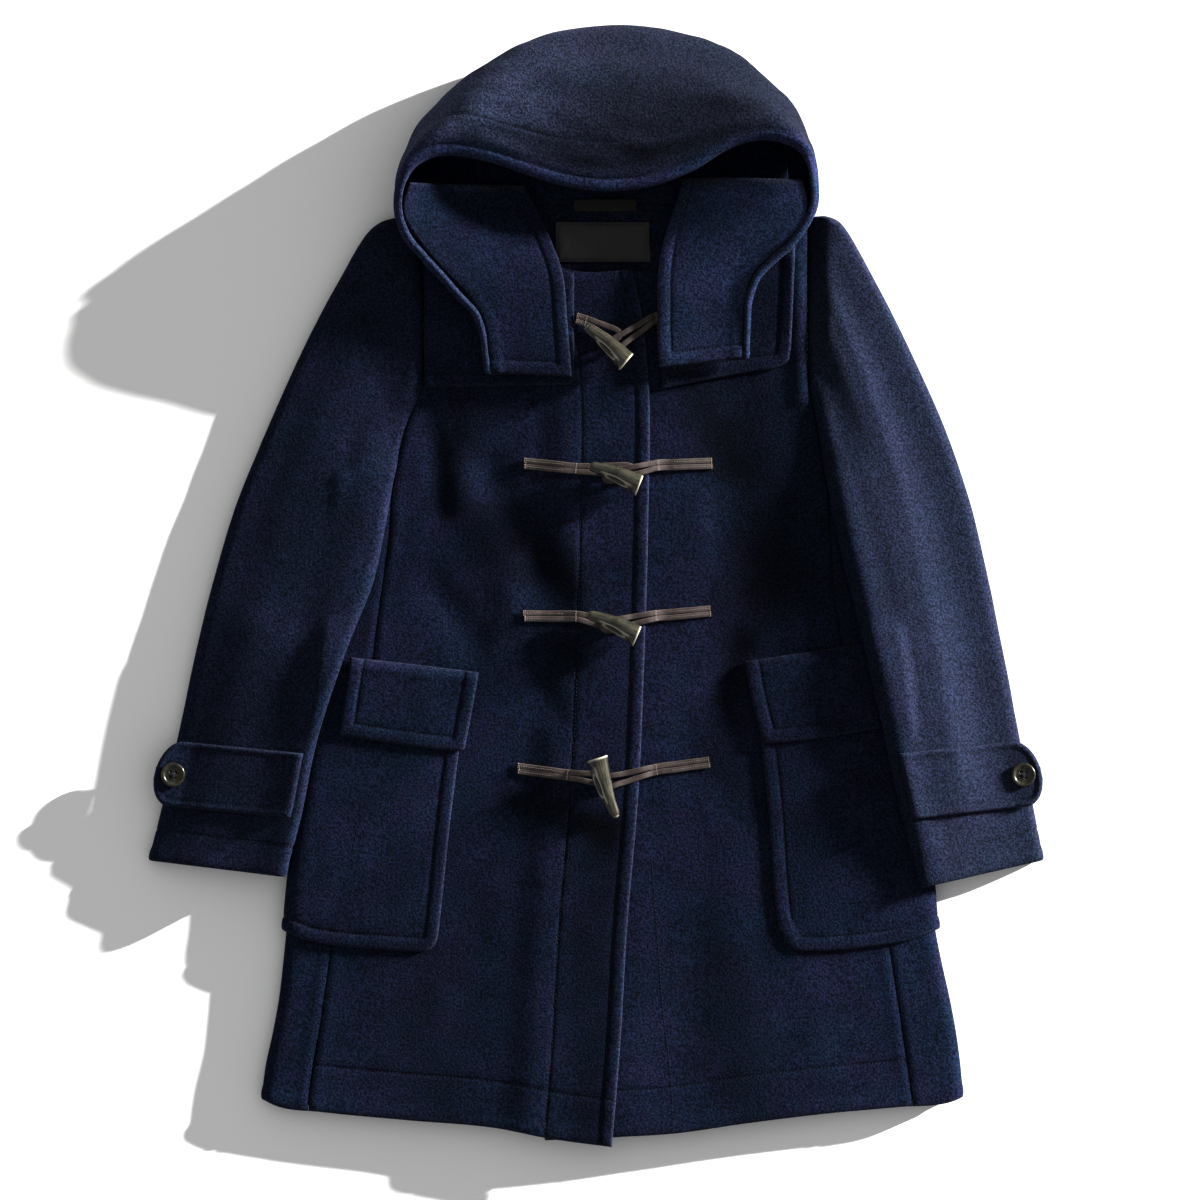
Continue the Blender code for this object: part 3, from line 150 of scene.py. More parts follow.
# ---- Sleeves ----
SIDES = ((-1, "left"), (1, "right"))
SLEEVE_LENGTH = 600.0
LAST_STATION = 11      # number of the station at the cuff
MIN_SLEEVE = 9.0       # least thickness of a flattened sleeve
UNDER_SEAM_IN = 20.0   # distance of the under-sleeve's seams from the sleeve's edges
RAMP = 26.0            # length over which a sleeve climbs from the floor onto the body
SLEEVE_LEFT = [        # station, outer x, outer y, inner x, inner y, outer top, inner top, puff, roll
    (0, -158.4, 338, -158.4, 186, 8, 17.5, 4, 3), (1, -184, 339, -161.5, 177, 15, 18, 4, 5),
    (2, -209, 326, -166, 168, 16, 18, 4, 7), (3, -235.5, 282, -175, 149, 16, 18, 3, 8),
    (4, -267, 223, -183, 116, 15, 21, 3, 9), (5, -300, 149.5, -189, 78, 14, 29, 1, 10),
    (6, -330.5, 76, -201.5, 13.5, 14, 31, 1, 10), (7, -352.5, 2.5, -216, -27, 14, 31, 2, 10),
    (8, -367, -58, -232, -68, 14, 37, 1, 10), (9, -382.5, -130, -256, -142, 14, 37, 0, 10),
    (10, -397.5, -196.5, -269.5, -208, 14, 34, 0, 9), (11, -411, -251.5, -285, -266.5, 14, 32, 0, 8)]
SLEEVE_RIGHT = [       # the same columns
    (0, 194.4, 338, 194.4, 186, 8, 17.5, 4, 3), (1, 211.5, 340, 196.5, 177, 15, 18, 5, 5),
    (2, 229, 329, 199, 169, 16, 18, 5, 7), (3, 256, 282, 203.5, 149, 16, 18, 5, 8),
    (4, 286, 223, 209, 114, 15, 21, 4, 9), (5, 319, 149.5, 214.5, 80, 14, 29, 3, 10),
    (6, 344, 76, 225.5, 29, 14, 31, 3, 10), (7, 361.5, 2.5, 238.5, -23.5, 14, 31, 3, 10),
    (8, 373.5, -56.5, 248.5, -67.5, 14, 37, 2, 10), (9, 387.5, -130, 265, -142, 14, 37, 1, 10),
    (10, 401, -196.5, 280.5, -209, 14, 34, 1, 9), (11, 411.2, -251.5, 298, -276.5, 14, 32, 0, 8)]
SIDE_STACK = [         # y, height of the body's side under the sleeve, with pocket and flap
    (-300, 21.5), (-190, 21.5), (-165, 22.5), (-145, 26), (-42, 26), (-20, 19),
    (60, 17.5), (130, 17)]

# ---- Cuff straps and their buttons ----
STRAP_THICK = 4.0
STRAP_PROUD = 13.0     # how far a strap's round end stands past the sleeve's edge
STRAP_ROUND = 20.0     # length over which that end is rounded
STRAP_LEVEL = 17.0     # how far in from the sleeve's edge a strap lies level
STRAP_SHORT = 8.0      # distance of a strap's sewn end from the sleeve's inner edge
STRAP_STATIONS = (9.17, 10.08)
BUTTON_R = 11.2
BUTTON_THICK = 3.4
BUTTON_IN = 4.0        # distance of a button's centre inside the sleeve's outer edge
BUTTON_STATION = 9.62
BUTTON_PROFILE = [     # share of the radius, share of the thickness
    (0.0, 0.0), (0.7, 0.0), (0.88, 0.06), (0.97, 0.3), (1.0, 0.5), (0.985, 0.74), (0.94, 0.92), (0.87, 1.0),
    (0.79, 0.97), (0.72, 0.84), (0.66, 0.68), (0.58, 0.6), (0.5, 0.6), (0.4, 0.6), (0.3, 0.6),
    (0.2, 0.6), (0.1, 0.6), (0.0, 0.6)]
BUTTON_FLOOR = 0.6     # height of the dished middle, as a share of the thickness
BUTTON_HOLE_AT = 3.1   # distance of each hole from the middle
BUTTON_HOLE_R = 1.25
BUTTON_HOLE_DEEP = 1.7
BUTTON_HOLE_TURN = 38  # direction of the first hole, in degrees
BUTTON_THREAD = (0.55, 0.5)    # width and thickness of the thread through the holes

# ---- Hood ----
HOOD_SECTIONS = [      # rim x, y, z, crest x, y, z, side x, y, z, end x, y, z, along the face opening
    (-97, 194, 36, -98.5, 194, 34.5, -99.5, 194, 32, -66, 195, 28),
    (-100, 214, 37.5, -101.5, 214, 36, -102.5, 214, 33, -68, 216, 28),
    (-102, 234, 40, -104, 233, 38.5, -105, 233, 34, -70, 236, 28.2),
    (-109, 252, 43, -111, 251, 41.5, -112.5, 250, 35, -78, 258, 28.4),
    (-124, 269, 46, -126, 267, 45, -127.5, 266, 37, -90, 276, 28.6),
    (-140, 287, 50, -142, 285, 48.5, -143.5, 284, 38, -104, 292, 29),
    (-155, 303, 54, -157.5, 301, 52, -159, 300, 40, -116, 306, 29),
    (-169, 320, 57, -172, 318, 55, -174, 317, 40, -132, 318, 28),
    (-177, 338, 60, -180, 337, 57, -182.5, 336, 38, -146, 334, 27),
    (-178.5, 354, 61, -181.5, 354, 57, -184, 355, 34, -152, 350, 17),
    (-174, 371, 61, -178, 372, 57, -184, 374, 27, -155, 366, 5),
    (-160, 386, 59, -167, 394, 60, -177, 399, 24, -150, 386, 0.3),
    (-136, 393, 57, -143, 413, 64, -160, 428, 22, -138, 404, 0.3),
    (-100, 388, 55, -112, 425, 66, -128, 460, 22, -112, 434, 0.3),
    (-64, 376, 53, -76, 430, 66, -86, 489, 22, -76, 462, 0.3),
    (-26, 365, 51, -34, 432, 66, -37, 509, 22, -34, 480, 0.3),
    (12, 361, 50, 12, 432, 66, 13, 515.3, 22, 12, 486, 0.3),
    (50, 365, 51, 58, 432, 66, 62, 511, 22, 58, 482, 0.3),
    (88, 379, 53, 100, 430, 66, 112, 497.5, 22, 100, 468, 0.3),
    (122, 399, 55, 134, 428, 65, 153, 471, 22, 138, 446, 0.3),
    (152, 407, 56, 164, 420, 62, 182, 440, 22, 163, 420, 0.3),
    (179, 401, 58, 186, 406, 61, 197, 408, 25, 174, 398, 0.3),
    (193, 387, 60, 197, 388, 57, 202, 386, 30, 177, 380, 5),
    (197, 369, 61, 200.5, 369, 57, 203, 368, 36, 176, 362, 17),
    (197, 351, 60, 200, 350, 57, 202, 349, 38, 172, 346, 27),
    (190, 334, 57, 193, 333, 55, 195, 332, 40, 160, 334, 28),
    (177, 316, 54, 179.5, 314, 52, 181, 313, 40, 148, 322, 29),
    (161, 302, 50, 163, 300, 48.5, 164.5, 299, 38, 130, 310, 29),
    (145, 285, 46, 147, 283, 45, 148.5, 282, 37, 114, 290, 28.6),
    (137.5, 262, 43, 139.5, 261, 41.5, 141, 261, 35, 108, 264, 28.4),
    (137, 238, 39.5, 138.5, 238, 38, 139.5, 238, 34, 106, 240, 28.2),
    (136, 209, 36, 137.5, 208, 34.5, 138.5, 208, 32, 104, 207, 28)]
HOOD_BACK_SECTIONS = (10, 22)   # rows of the table whose ends meet the layer on the floor
NECK_SEAM = [          # x, y where the hood's floor layer meets the back
    (-162, 352.5), (-100, 346), (-70, 350.4), (-30, 352), (14, 352), (60, 352),
    (104, 350.4), (140, 346), (184, 352.5)]
LAPEL_LEFT = [         # share of the way down, left x, y, z, right x, y, z
    (0.0, -166, 369, 58, -65.5, 369, 14), (0.1, -172, 352, 58.5, -56, 350, 15),
    (0.22, -170.5, 335, 57.5, -47, 332, 20), (0.36, -158, 315.5, 53, -39, 313, 27),
    (0.5, -141, 294.5, 48, -33, 297, 33), (0.64, -118, 271, 43.5, -28.5, 276, 35.5),
    (0.76, -101.5, 247, 40, -26.5, 247, 36), (0.88, -95, 217, 37.5, -24, 218, 36),
    (1.0, -93, 195, 36.5, -22, 192, 36)]
LAPEL_RIGHT = [
    (0.0, 80, 376, 14, 185, 372, 58), (0.1, 74.5, 356, 15, 189.5, 354, 58.5),
    (0.22, 68, 338, 20, 187.5, 336, 57), (0.36, 62, 319, 27, 175, 319, 53),
    (0.5, 58, 300, 33, 158, 303, 48), (0.64, 56, 278, 35.5, 140, 284, 44),
    (0.76, 56, 252, 36, 133, 258, 41), (0.88, 56, 226, 36, 131.5, 232, 38),
    (1.0, 58, 200, 36, 131, 209, 36.5)]
LAPEL_HANG = 0.2       # share of its rise by which the left lapel hangs in its middle
LAPEL_BULGE = 2.1      # power of the curve by which the right lapel bulges

# ---- Toggles and their leather ----
LEATHER = 1.5          # thickness of the strips
LEG_W = 4.7            # width of one strip
LEG_APART = 5.3        # distance between the middles of the two legs of a strip
LOOP_WIDE = 9.0        # the same where the legs open round the toggle
LEATHER_STACK = 5.45   # from the front up to a toggle that lies on both strips
TOGGLE_TIP_R = 3.9
TOGGLE_END_R = 10.0
TOGGLE_FLAT = 0.74     # height of the horn's section as a share of its width
TOGGLE_BOW = 2.0
TOGGLE_ROUND = 0.09    # share of the length over which the tip is rounded
TOGGLE_CUT = 0.985     # the same up to the rim of the cut end
TOGGLE_LEVEL = 0.86    # distance of the recess's flat from the axis, as a share of the radius
RECESS_TURN = 55       # how far the recess is turned down from the top, in degrees
RECESS_AT = 0.57       # its middle, as a share of the length
RECESS_HALF = (11.0, 4.3)      # half its length and width
RECESS_DEPTH = 1.1
TOGGLE_HOLES = (0.49, 0.65)    # the two holes, as shares of the length
TOGGLE_HOLE_R = 2.2
TOGGLE_HOLE_DEEP = 2.4
DISH = [               # cut end from the rim in: share of the radius, depth, how pale
    (0.985, -0.45, 1.0), (0.93, -0.6, 1.0), (0.86, -0.25, 0.55), (0.76, 0.45, 0.1), (0.55, 1.0, 0.0),
    (0.3, 1.25, 0.0)]
DISH_DEPTH = 1.35      # depth of its middle
STRIP_AIR = 1.15       # from the front up to the lower strips
CROSS_RISE = 2.2       # how much higher a right strip lies where it crosses a left one
CROSS_RAMP = 12.0
YOKE_RISE = LAYER - 0.4    # how much higher the top row lies, on the yokes
TOGGLES = [            # tip x, y, end x, y, for the four rows from the neck down
    (-10, 238, 28, 205), (-7, 111, 40, 92), (-9, -25, 38, -46), (19, -212, 1, -157)]
STRAPS_LEFT = [        # outer x, y, knee x, y, far x, y
    (-18, 246, -8, 243, 17, 231), (-66, 113, -17, 108, 30, 106.5),
    (-66.5, -27, -17, -27.5, 14, -34), (-72, -167, -25, -173, 8, -177)]
STRAPS_RIGHT = [
    (100, 251, 54, 246, 17, 222), (107.5, 113, 56, 111, 12, 101),
    (106, -22.5, 54, -27, 10, -36), (105, -161, 54, -168, 8, -180)]

# ---- Neck label and hanger ----
LABEL = (-37.5, 298, 49.5, 335.5)      # x0, y0, x1, y1
LABEL_THICK = 1.0
LABEL_MARKS = (0, 0.2, 0.6, 1.2, 2.0)  # distances in from its edges, in mm
HANGER = (-20.0, 345.0, 37.0, 356.0)
HANGER_THICK = 1.4
HANGER_RISE = 2.2
TRIM_AIR = 0.4

# ---- Making up: edges, seams and stitching ----
STEP = 4.6             # usual distance between two points of a cloth's mesh
TOPSTITCH = 12.5       # distance of the topstitching from a turned edge
FACING_STITCH = 62.5   # distance of the front facing's stitch line from the free edge
HEM_STITCH = 42.5
CUFF_STITCH = 29.0
RIM_STITCH = 11.5
HOOD_FACING = 46.0
STRAP_STITCH = 6.0
EDGE_RISE = 1.0        # how far the roll of a turned edge swells above the cloth
EDGE_UNDER = 0.35      # and below it
GROOVE = 0.7           # depth and half width of the groove that a stitch line pulls in
GROOVE_HALF = 1.25
PUCKER = 0.22          # height of the puckers beside a stitch line
PUCKER_SIZE = 7.5
SEWN_NOSE = 1.2        # radius at the edge of a piece that is sewn to its neighbour
SEAM_DIP = 0.45
SEAM_RIDGE = 0.45
NOSE_MARKS = (0, 0.3, 0.9, 1.8, 3.0, 5.0)
SEWN_MARKS = (0, 0.35, 1.0, 1.9, 3.2, 5.2, 8.0)
STITCH_MARKS = (-2.6, -1.3, -0.45, 0.45, 1.3, 2.6)
RELIEF = [             # size of the lumps in the cloth's face, their height
    (46.0, 0.32), (21.0, 0.13), (10.5, 0.06)]

# ---- Folds, painted light and shade, and small gaps ----
FINE_FOLDS = [         # the same columns as FOLDS: smaller ones
    (-20, 40, -12, -60, 0.9, 10), (95, 60, 120, -20, 0.8, 12), (140, 20, 128, -60, -0.9, 14),
    (-70, 20, -96, -60, 0.9, 12), (-200, -330, -190, -430, 0.9, 22), (-10, -240, -16, -400, 0.8, 20),
    (190, -350, 205, -450, 1.0, 20), (60, -120, 74, -260, 0.8, 16), (-110, -300, -118, -420, -0.8, 20),
    (100, -280, 92, -400, -0.8, 18), (130, 235, 142, -50, -2.6, 38),
    (184, 300, 187.5, 172, 3.3, 8.5), (48, 150, 44, -60, 2.0, 34), (40, -110, 18, -480, 2.0, 34)]
SLEEVE_FOLDS = {       # start and end station, place across at both, height, reach
    -1: [(7.6, 11.0, 0.27, 0.27, 3.5, 24), (7.6, 11.0, 0.74, 0.74, -3.0, 22), (2.6, 6.0, 0.34, 0.30, 1.0, 14),
         (4.6, 7.6, 0.62, 0.66, -0.9, 13), (6.4, 9.2, 0.35, 0.42, 0.9, 16), (3.2, 4.4, 0.75, 0.6, -1.0, 9)],
    1: [(2.2, 9.6, 0.60, 0.58, 4.0, 26), (2.4, 9.2, 0.42, 0.50, 1.2, 7), (1.6, 10.2, 0.90, 0.90, 4.5, 14),
        (2.4, 8.8, 0.27, 0.27, -1.6, 16), (3.0, 5.2, 0.70, 0.60, -1.0, 11), (7.4, 9.4, 0.40, 0.52, 0.8, 15)]}
ARMHOLE = {-1: (4.0, 5.0, 1.4), 1: (6.0, 15.0, 0.0)}     # depth, width and ridge at the armhole
HOOD_FOLDS = [         # x0, y0, x1, y1, height, reach
    (-120, 414, -40, 438, 1.2, 9), (-60, 470, 60, 480, 1.0, 11), (30, 432, 118, 448, -1.2, 8),
    (-100, 446, -20, 462, -1.1, 8), (80, 470, 140, 444, 1.2, 9), (-20, 404, 60, 406, 1.0, 7),
    (150, 424, 184, 402, 1.1, 8), (20, 394, 160, 432, 2.4, 6), (10, 406, 150, 446, -1.3, 7),
    (60, 446, 150, 450, 1.5, 7), (-140, 428, -60, 470, 1.3, 8), (-40, 392, 30, 392, 1.2, 6),
    (-150, 404, -128, 424, 1.0, 8)]
PAINTED_SHADOWS = [            # x0, y0, x1, y1, how much darker, reach: painted shadows, and painted shade in hollows
    (-123, 158, -139, 80, 0.6, 17), (-98, 66, -26, 5, 0.62, 25), (-34, -44, -20, -74, 0.5, 23),
    (-65, -192, 9, -226, 0.5, 20), (-111, 44, -71, 4, 0.3, 14), (136, 165, 150, 27, 0.44, 54),
    (170, 27, 140, -42, 0.3, 44), (119, -123, 130, -54, 0.5, 17), (107, -157, 142, -203, 0.3, 18),
    (2, -224, -8, -500, 0.42, 30), (-162, -330, -150, -500, 0.35, 42), (120, -340, 150, -500, 0.35, 42),
    (86, 182, 122, 115, 0.4, 24), (150, 262, 150, 235, 0.35, 26), (-164, 338, -108, 268, 0.35, 20),
    (203, 305, 216, 232, 0.5, 13)]
LAPEL_LIGHT = {"left": 0.0, "right": 0.85}      # how much paler each lapel is painted: painted light
LAPEL_NAP_LIGHT = {"left": 0.0, "right": 0.12}       # how far its grey nap stands up; on the right lapel it adds painted light
TUCK = 3.5             # how far a lapel reaches under the rim
CLOSED = 0.12          # gap left where the hood's floor layer meets its neighbours
NECK_HALF = 95.0
FLOOR_Z = -0.0002      # in metres, just under the cloth

# ---- Kinds of edge: how it ends, and how far in its stitch lines run ----
SEWN = ("sewn", ())
TURNED = ("turned", ())
STITCHED = ("turned", (TOPSTITCH,))

STITCHES = []          # place, heading and facing of every stitch, in mm
LEATHER_STITCHES = []
THREADS = []           # paths of the threads in the buttons
FINISHES = {}          # materials by name


# ---------------------------------------------------------------- small helpers
def curve(rows, at):
    """Read a table at a value of its first column, on a smooth curve through its rows."""
    data = np.array(rows, float)
    key = data[:, 0]
    values = data[:, 1:]
    at = np.clip(np.asarray(at, float), key[0], key[-1])
    slopes = np.gradient(values, key, axis=0)
    row = np.clip(np.searchsorted(key, at, side="right") - 1, 0, len(key) - 2)
    span = key[row + 1] - key[row]
    t = ((at - key[row]) / span)[..., None]
    span = span[..., None]
    result = ((2 * t**3 - 3 * t**2 + 1) * values[row] + (t**3 - 2 * t**2 + t) * span * slopes[row]
              + (3 * t**2 - 2 * t**3) * values[row + 1] + (t**3 - t**2) * span * slopes[row + 1])
    return result[..., 0] if result.shape[-1] == 1 else result


def numbered(rows):
    """Put a row number in front of each row of a table."""
    return [(number, *row) for number, row in enumerate(rows)]


def ease(value):
    value = np.clip(value, 0.0, 1.0)
    return value * value * (3 - 2 * value)


def mix(first, second, share):
    return first + (second - first) * share


def points(x, y, z):
    return np.stack(np.broadcast_arrays(x, y, z), axis=-1)


def unit(vectors):
    return vectors / (np.linalg.norm(vectors, axis=-1, keepdims=True) + 1e-12)


def travel(grid, axis=0):
    """Distance along a line, or along each column or row of a grid, at each of its points."""
    steps = np.cumsum(np.linalg.norm(np.diff(grid, axis=axis), axis=-1), axis=axis)
    return np.concatenate([0 * steps.take([0], axis=axis), steps], axis=axis)


def read_line(line, travelled, at):
    """Points of a line at these distances along it."""
    return np.stack([np.interp(at, travelled, line[:, axis]) for axis in range(3)], axis=-1)


def from_stroke(x, y, x0, y0, x1, y1):
    """Distance of each point from a straight stroke, and its place along it from 0 to 1."""
    share = ((x - x0) * (x1 - x0) + (y - y0) * (y1 - y0)) / ((x1 - x0)**2 + (y1 - y0)**2)
    near = np.clip(share, 0, 1)
    return np.hypot(x - mix(x0, x1, near), y - mix(y0, y1, near)), share


def wobble(x, y, size, seed):
    """Smooth random heights from -1 to 1 whose lumps have this size."""
    table = np.random.default_rng(seed).uniform(-1, 1, (64, 64))
    u = np.asarray(x) / size + 0.37 * seed
    v = np.asarray(y) / size + 0.73 * seed
    column, row = np.floor(u).astype(int), np.floor(v).astype(int)
    across, up = ease(u - column), ease(v - row)
    low = mix(table[row % 64, column % 64], table[row % 64, (column + 1) % 64], across)
    high = mix(table[(row + 1) % 64, column % 64], table[(row + 1) % 64, (column + 1) % 64], across)
    return mix(low, high, up)


def marks(start, end, length, step=STEP):
    """Places along an edge: fixed distances in from both ends and even steps between them."""
    start, end = np.array(start, float), np.array(end, float)
    middle = max(2, int((length - start[-1] - end[-1]) / step))
    share = np.linspace(0, 1, middle + 2)[1:-1]
    fixed = np.concatenate([start, start[-1] * (1 - share) - end[-1] * share, -end[::-1]])
    part = np.concatenate([0 * start, share, 1 + 0 * end])
    return fixed, part, start[-1] + end[-1]


def places(marked, length, down=False):
    """The marked places for edges of these lengths; they close up on a short edge."""
    fixed, part, reach = marked
    if down:
        fixed, part = fixed[:, None], part[:, None]
    return fixed * np.clip(length / (1.25 * reach), 0, 1) + part * length


def edge_marks(*stitches, nose=NOSE_MARKS):
    """Distances in from an edge, close together at its nose and round each stitch line."""
    found = set(nose)
    for stitch in stitches:
        found |= {round(stitch + mark, 2) for mark in STITCH_MARKS}
        before = [mark for mark in found if mark < stitch - 3]
        gap = stitch - 2.6 - max(before)
        extra = int(gap / STEP)
        found |= {round(max(before) + gap * (n + 1) / (extra + 1), 2) for n in range(extra)}
    return sorted(found)


def panel(left, right, top, bottom, columns, rows):
    """Plan points of a sheet between two side edges x(y) and two end edges y(x)."""
    shape = (len(rows[0]), len(columns[0]))
    y = np.zeros(shape) + (top(0.0) + bottom(0.0)) / 2
    for _ in range(9):
        x = left(y) + places(columns, right(y) - left(y))
        y = top(x) - places(rows, top(x) - bottom(x), down=True)
    return x, y


def from_line(grid, line):
    """Distance of each point from a line, and how far along the line the nearest place is."""
    flat = grid.reshape(-1, 3)
    steps = np.diff(line, axis=0)
    lengths = np.linalg.norm(steps, axis=1) + 1e-9
    travelled = np.concatenate([[0.0], np.cumsum(lengths)])
    nearest = np.zeros(len(flat), int)
    for block in np.array_split(np.arange(len(flat)), 1 + len(flat) * len(line) // 3_000_000):
        gaps = -2 * flat[block] @ line.T + (line**2).sum(1)
        nearest[block] = gaps.argmin(1)
    best, along = np.full(len(flat), 1e9), np.zeros(len(flat))
    for shift in (-1, 0):
        segment = np.clip(nearest + shift, 0, len(steps) - 1)
        share = ((flat - line[segment]) * steps[segment]).sum(1) / lengths[segment]**2
        share = np.clip(share, 0, 1)
        gap = np.linalg.norm(flat - line[segment] - share[:, None] * steps[segment], axis=1)
        along = np.where(gap < best, travelled[segment] + share * lengths[segment], along)
        best = np.minimum(gap, best)
    return best.reshape(grid.shape[:2]), along.reshape(grid.shape[:2])


def resample(line, pitch):
    """Points at an even pitch along a line."""
    travelled = travel(line)
    return read_line(line, travelled, np.arange(pitch / 2, travelled[-1], pitch))


# ---------------------------------------------------------------- meshes
def make_object(name, vertices, faces, material, replaces=(), uv=None, values=None):
    """A closed mesh at the origin that rides on the coat; values are named numbers a point."""
    mesh = bpy.data.meshes.new(name + "_finish")
    mesh.from_pydata((np.asarray(vertices, float) * MM).tolist(), [], np.asarray(faces, int).tolist()
                     if isinstance(faces, np.ndarray) else faces)
    mesh.shade_smooth()
    mesh.materials.append(FINISHES[material])
    loops = np.zeros(len(mesh.loops), int)
    mesh.loops.foreach_get("vertex_index", loops)
    if uv is not None:
        layer = mesh.uv_layers.new(name="cloth")
        layer.data.foreach_set("uv", (np.asarray(uv)[loops] * MM).ravel())
    for key, numbers in (values or {}).items():
        attribute = mesh.attributes.new(key, "FLOAT", "POINT")
        attribute.data.foreach_set("value", np.asarray(numbers, float))
    item = bpy.data.objects.new(name + "_finish", mesh)
    bpy.context.scene.collection.objects.link(item)
    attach(item, "root")
    if replaces:
        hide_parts(*replaces)
    return item


def grid_faces(rows, columns, index, wrap=False):
    """Quads of a grid whose point numbers are in index."""
    width = columns if wrap else columns - 1
    c = np.arange(width)
    r = np.arange(rows - 1)[:, None]
    after = (c + 1) % columns
    quads = [index[r, c], index[r, after], index[r + 1, after], index[r + 1, c]]
    return np.stack(quads, axis=-1).reshape(-1, 4)


def outward(vertices, faces):
    """The faces of a closed mesh, turned round where they look inward."""
    centre = vertices.mean(axis=0)
    volume = 0.0
    for face in faces:
        first = vertices[face[0]] - centre
        for second, third in zip(face[1:-1], face[2:]):
            volume += np.dot(first, np.cross(vertices[second] - centre, vertices[third] - centre))
    return faces if volume > 0 else [tuple(reversed(face)) for face in faces]


def round_mesh(first, rings, last):
    """A closed mesh of rings of points between two end points."""
    count, sides = rings.shape[:2]
    vertices = np.concatenate([[first], rings.reshape(-1, 3), [last]])
    index = 1 + np.arange(count * sides).reshape(count, sides)
    faces = grid_faces(count, sides, index, wrap=True).tolist()
    for s, t in zip(range(sides), [*range(1, sides), 0]):
        faces.append((0, int(index[0, t]), int(index[0, s])))
        faces.append((int(index[-1, s]), int(index[-1, t]), len(vertices) - 1))
    return vertices, outward(vertices, faces)


def normals_of(outer, facing):
    """Unit normals of a grid; at its middle they look the way of facing."""
    normal = unit(np.cross(np.gradient(outer, axis=1), np.gradient(outer, axis=0)))
    middle = normal[normal.shape[0] // 2, normal.shape[1] // 2]
    sign = -1.0 if np.dot(middle, facing) < 0 else 1.0
    return normal * sign, sign


def edge_line(grid, edge):
    """One edge of a grid; the four edges in order run round the grid."""
    return {"top": grid[0], "right": grid[:, -1], "bottom": grid[-1, ::-1], "left": grid[::-1, 0]}[edge]


def edge_chains(grid, names):
    """The named edges, joined where one goes on into the next."""
    chains = []
    for name in ("top", "right", "bottom", "left"):
        if name in names:
            line = edge_line(grid, name)
            if chains and np.allclose(chains[-1][-1], line[0]):
                chains[-1] = np.concatenate([chains[-1], line[1:]])
            else:
                chains.append(line)
    if len(chains) > 1 and np.allclose(chains[-1][-1], chains[0][0]):
        chains[0] = np.concatenate([chains.pop(), chains[0][1:]])
    return chains


def cloth_relief(x, y, seed):
    """Small lumps of the felted cloth."""
    return sum(height * wobble(x, y, size, seed + n) for n, (size, height) in enumerate(RELIEF))


def painted_shade(x, y):
    """Painted shade: how much darker the cloth is painted where shadows fall on it and in its hollows."""
    total = np.zeros(np.broadcast(x, y).shape)
    for *stroke, amount, reach in PAINTED_SHADOWS:
        off = from_stroke(x, y, *stroke)[0] + 0.25 * reach * wobble(x, y, reach * 0.9, 77)
        total = total - amount * np.exp(-(off / reach)**2)
    return np.maximum(total, -0.85)


def add_stitches(item, line, pitch, store, keep_off=0.0):
    """Store a stitch at an even pitch along a line that lies on a piece."""
    tree = BVHTree.FromPolygons([v.co / MM for v in item.data.vertices],
                                [p.vertices for p in item.data.polygons])
    line = resample(np.asarray(line, float), pitch)
    heading = unit(np.gradient(line, axis=0))
    last = len(line) - 1
    for number, (place, way) in enumerate(zip(line, heading)):
        if min(number, last - number) * pitch < keep_off:
            continue
        found, normal, _, _ = tree.find_nearest(Vector(place))
        if found is not None:
            store.append((*found, *way, *normal))


def inset_line(chain, distance, normal_line, sign, pitch):
    """A line on the cloth at a distance in from a turned edge."""
    travelled = travel(chain)
    at = np.arange(0, travelled[-1], pitch)
    line, normal = read_line(chain, travelled, at), read_line(normal_line, travelled, at)
    inward = -sign * unit(np.cross(np.gradient(line, axis=0), normal))
    moved = line + inward * distance
    gap = from_line(moved[None], chain)[0][0]
    return moved[gap > distance - 0.6]


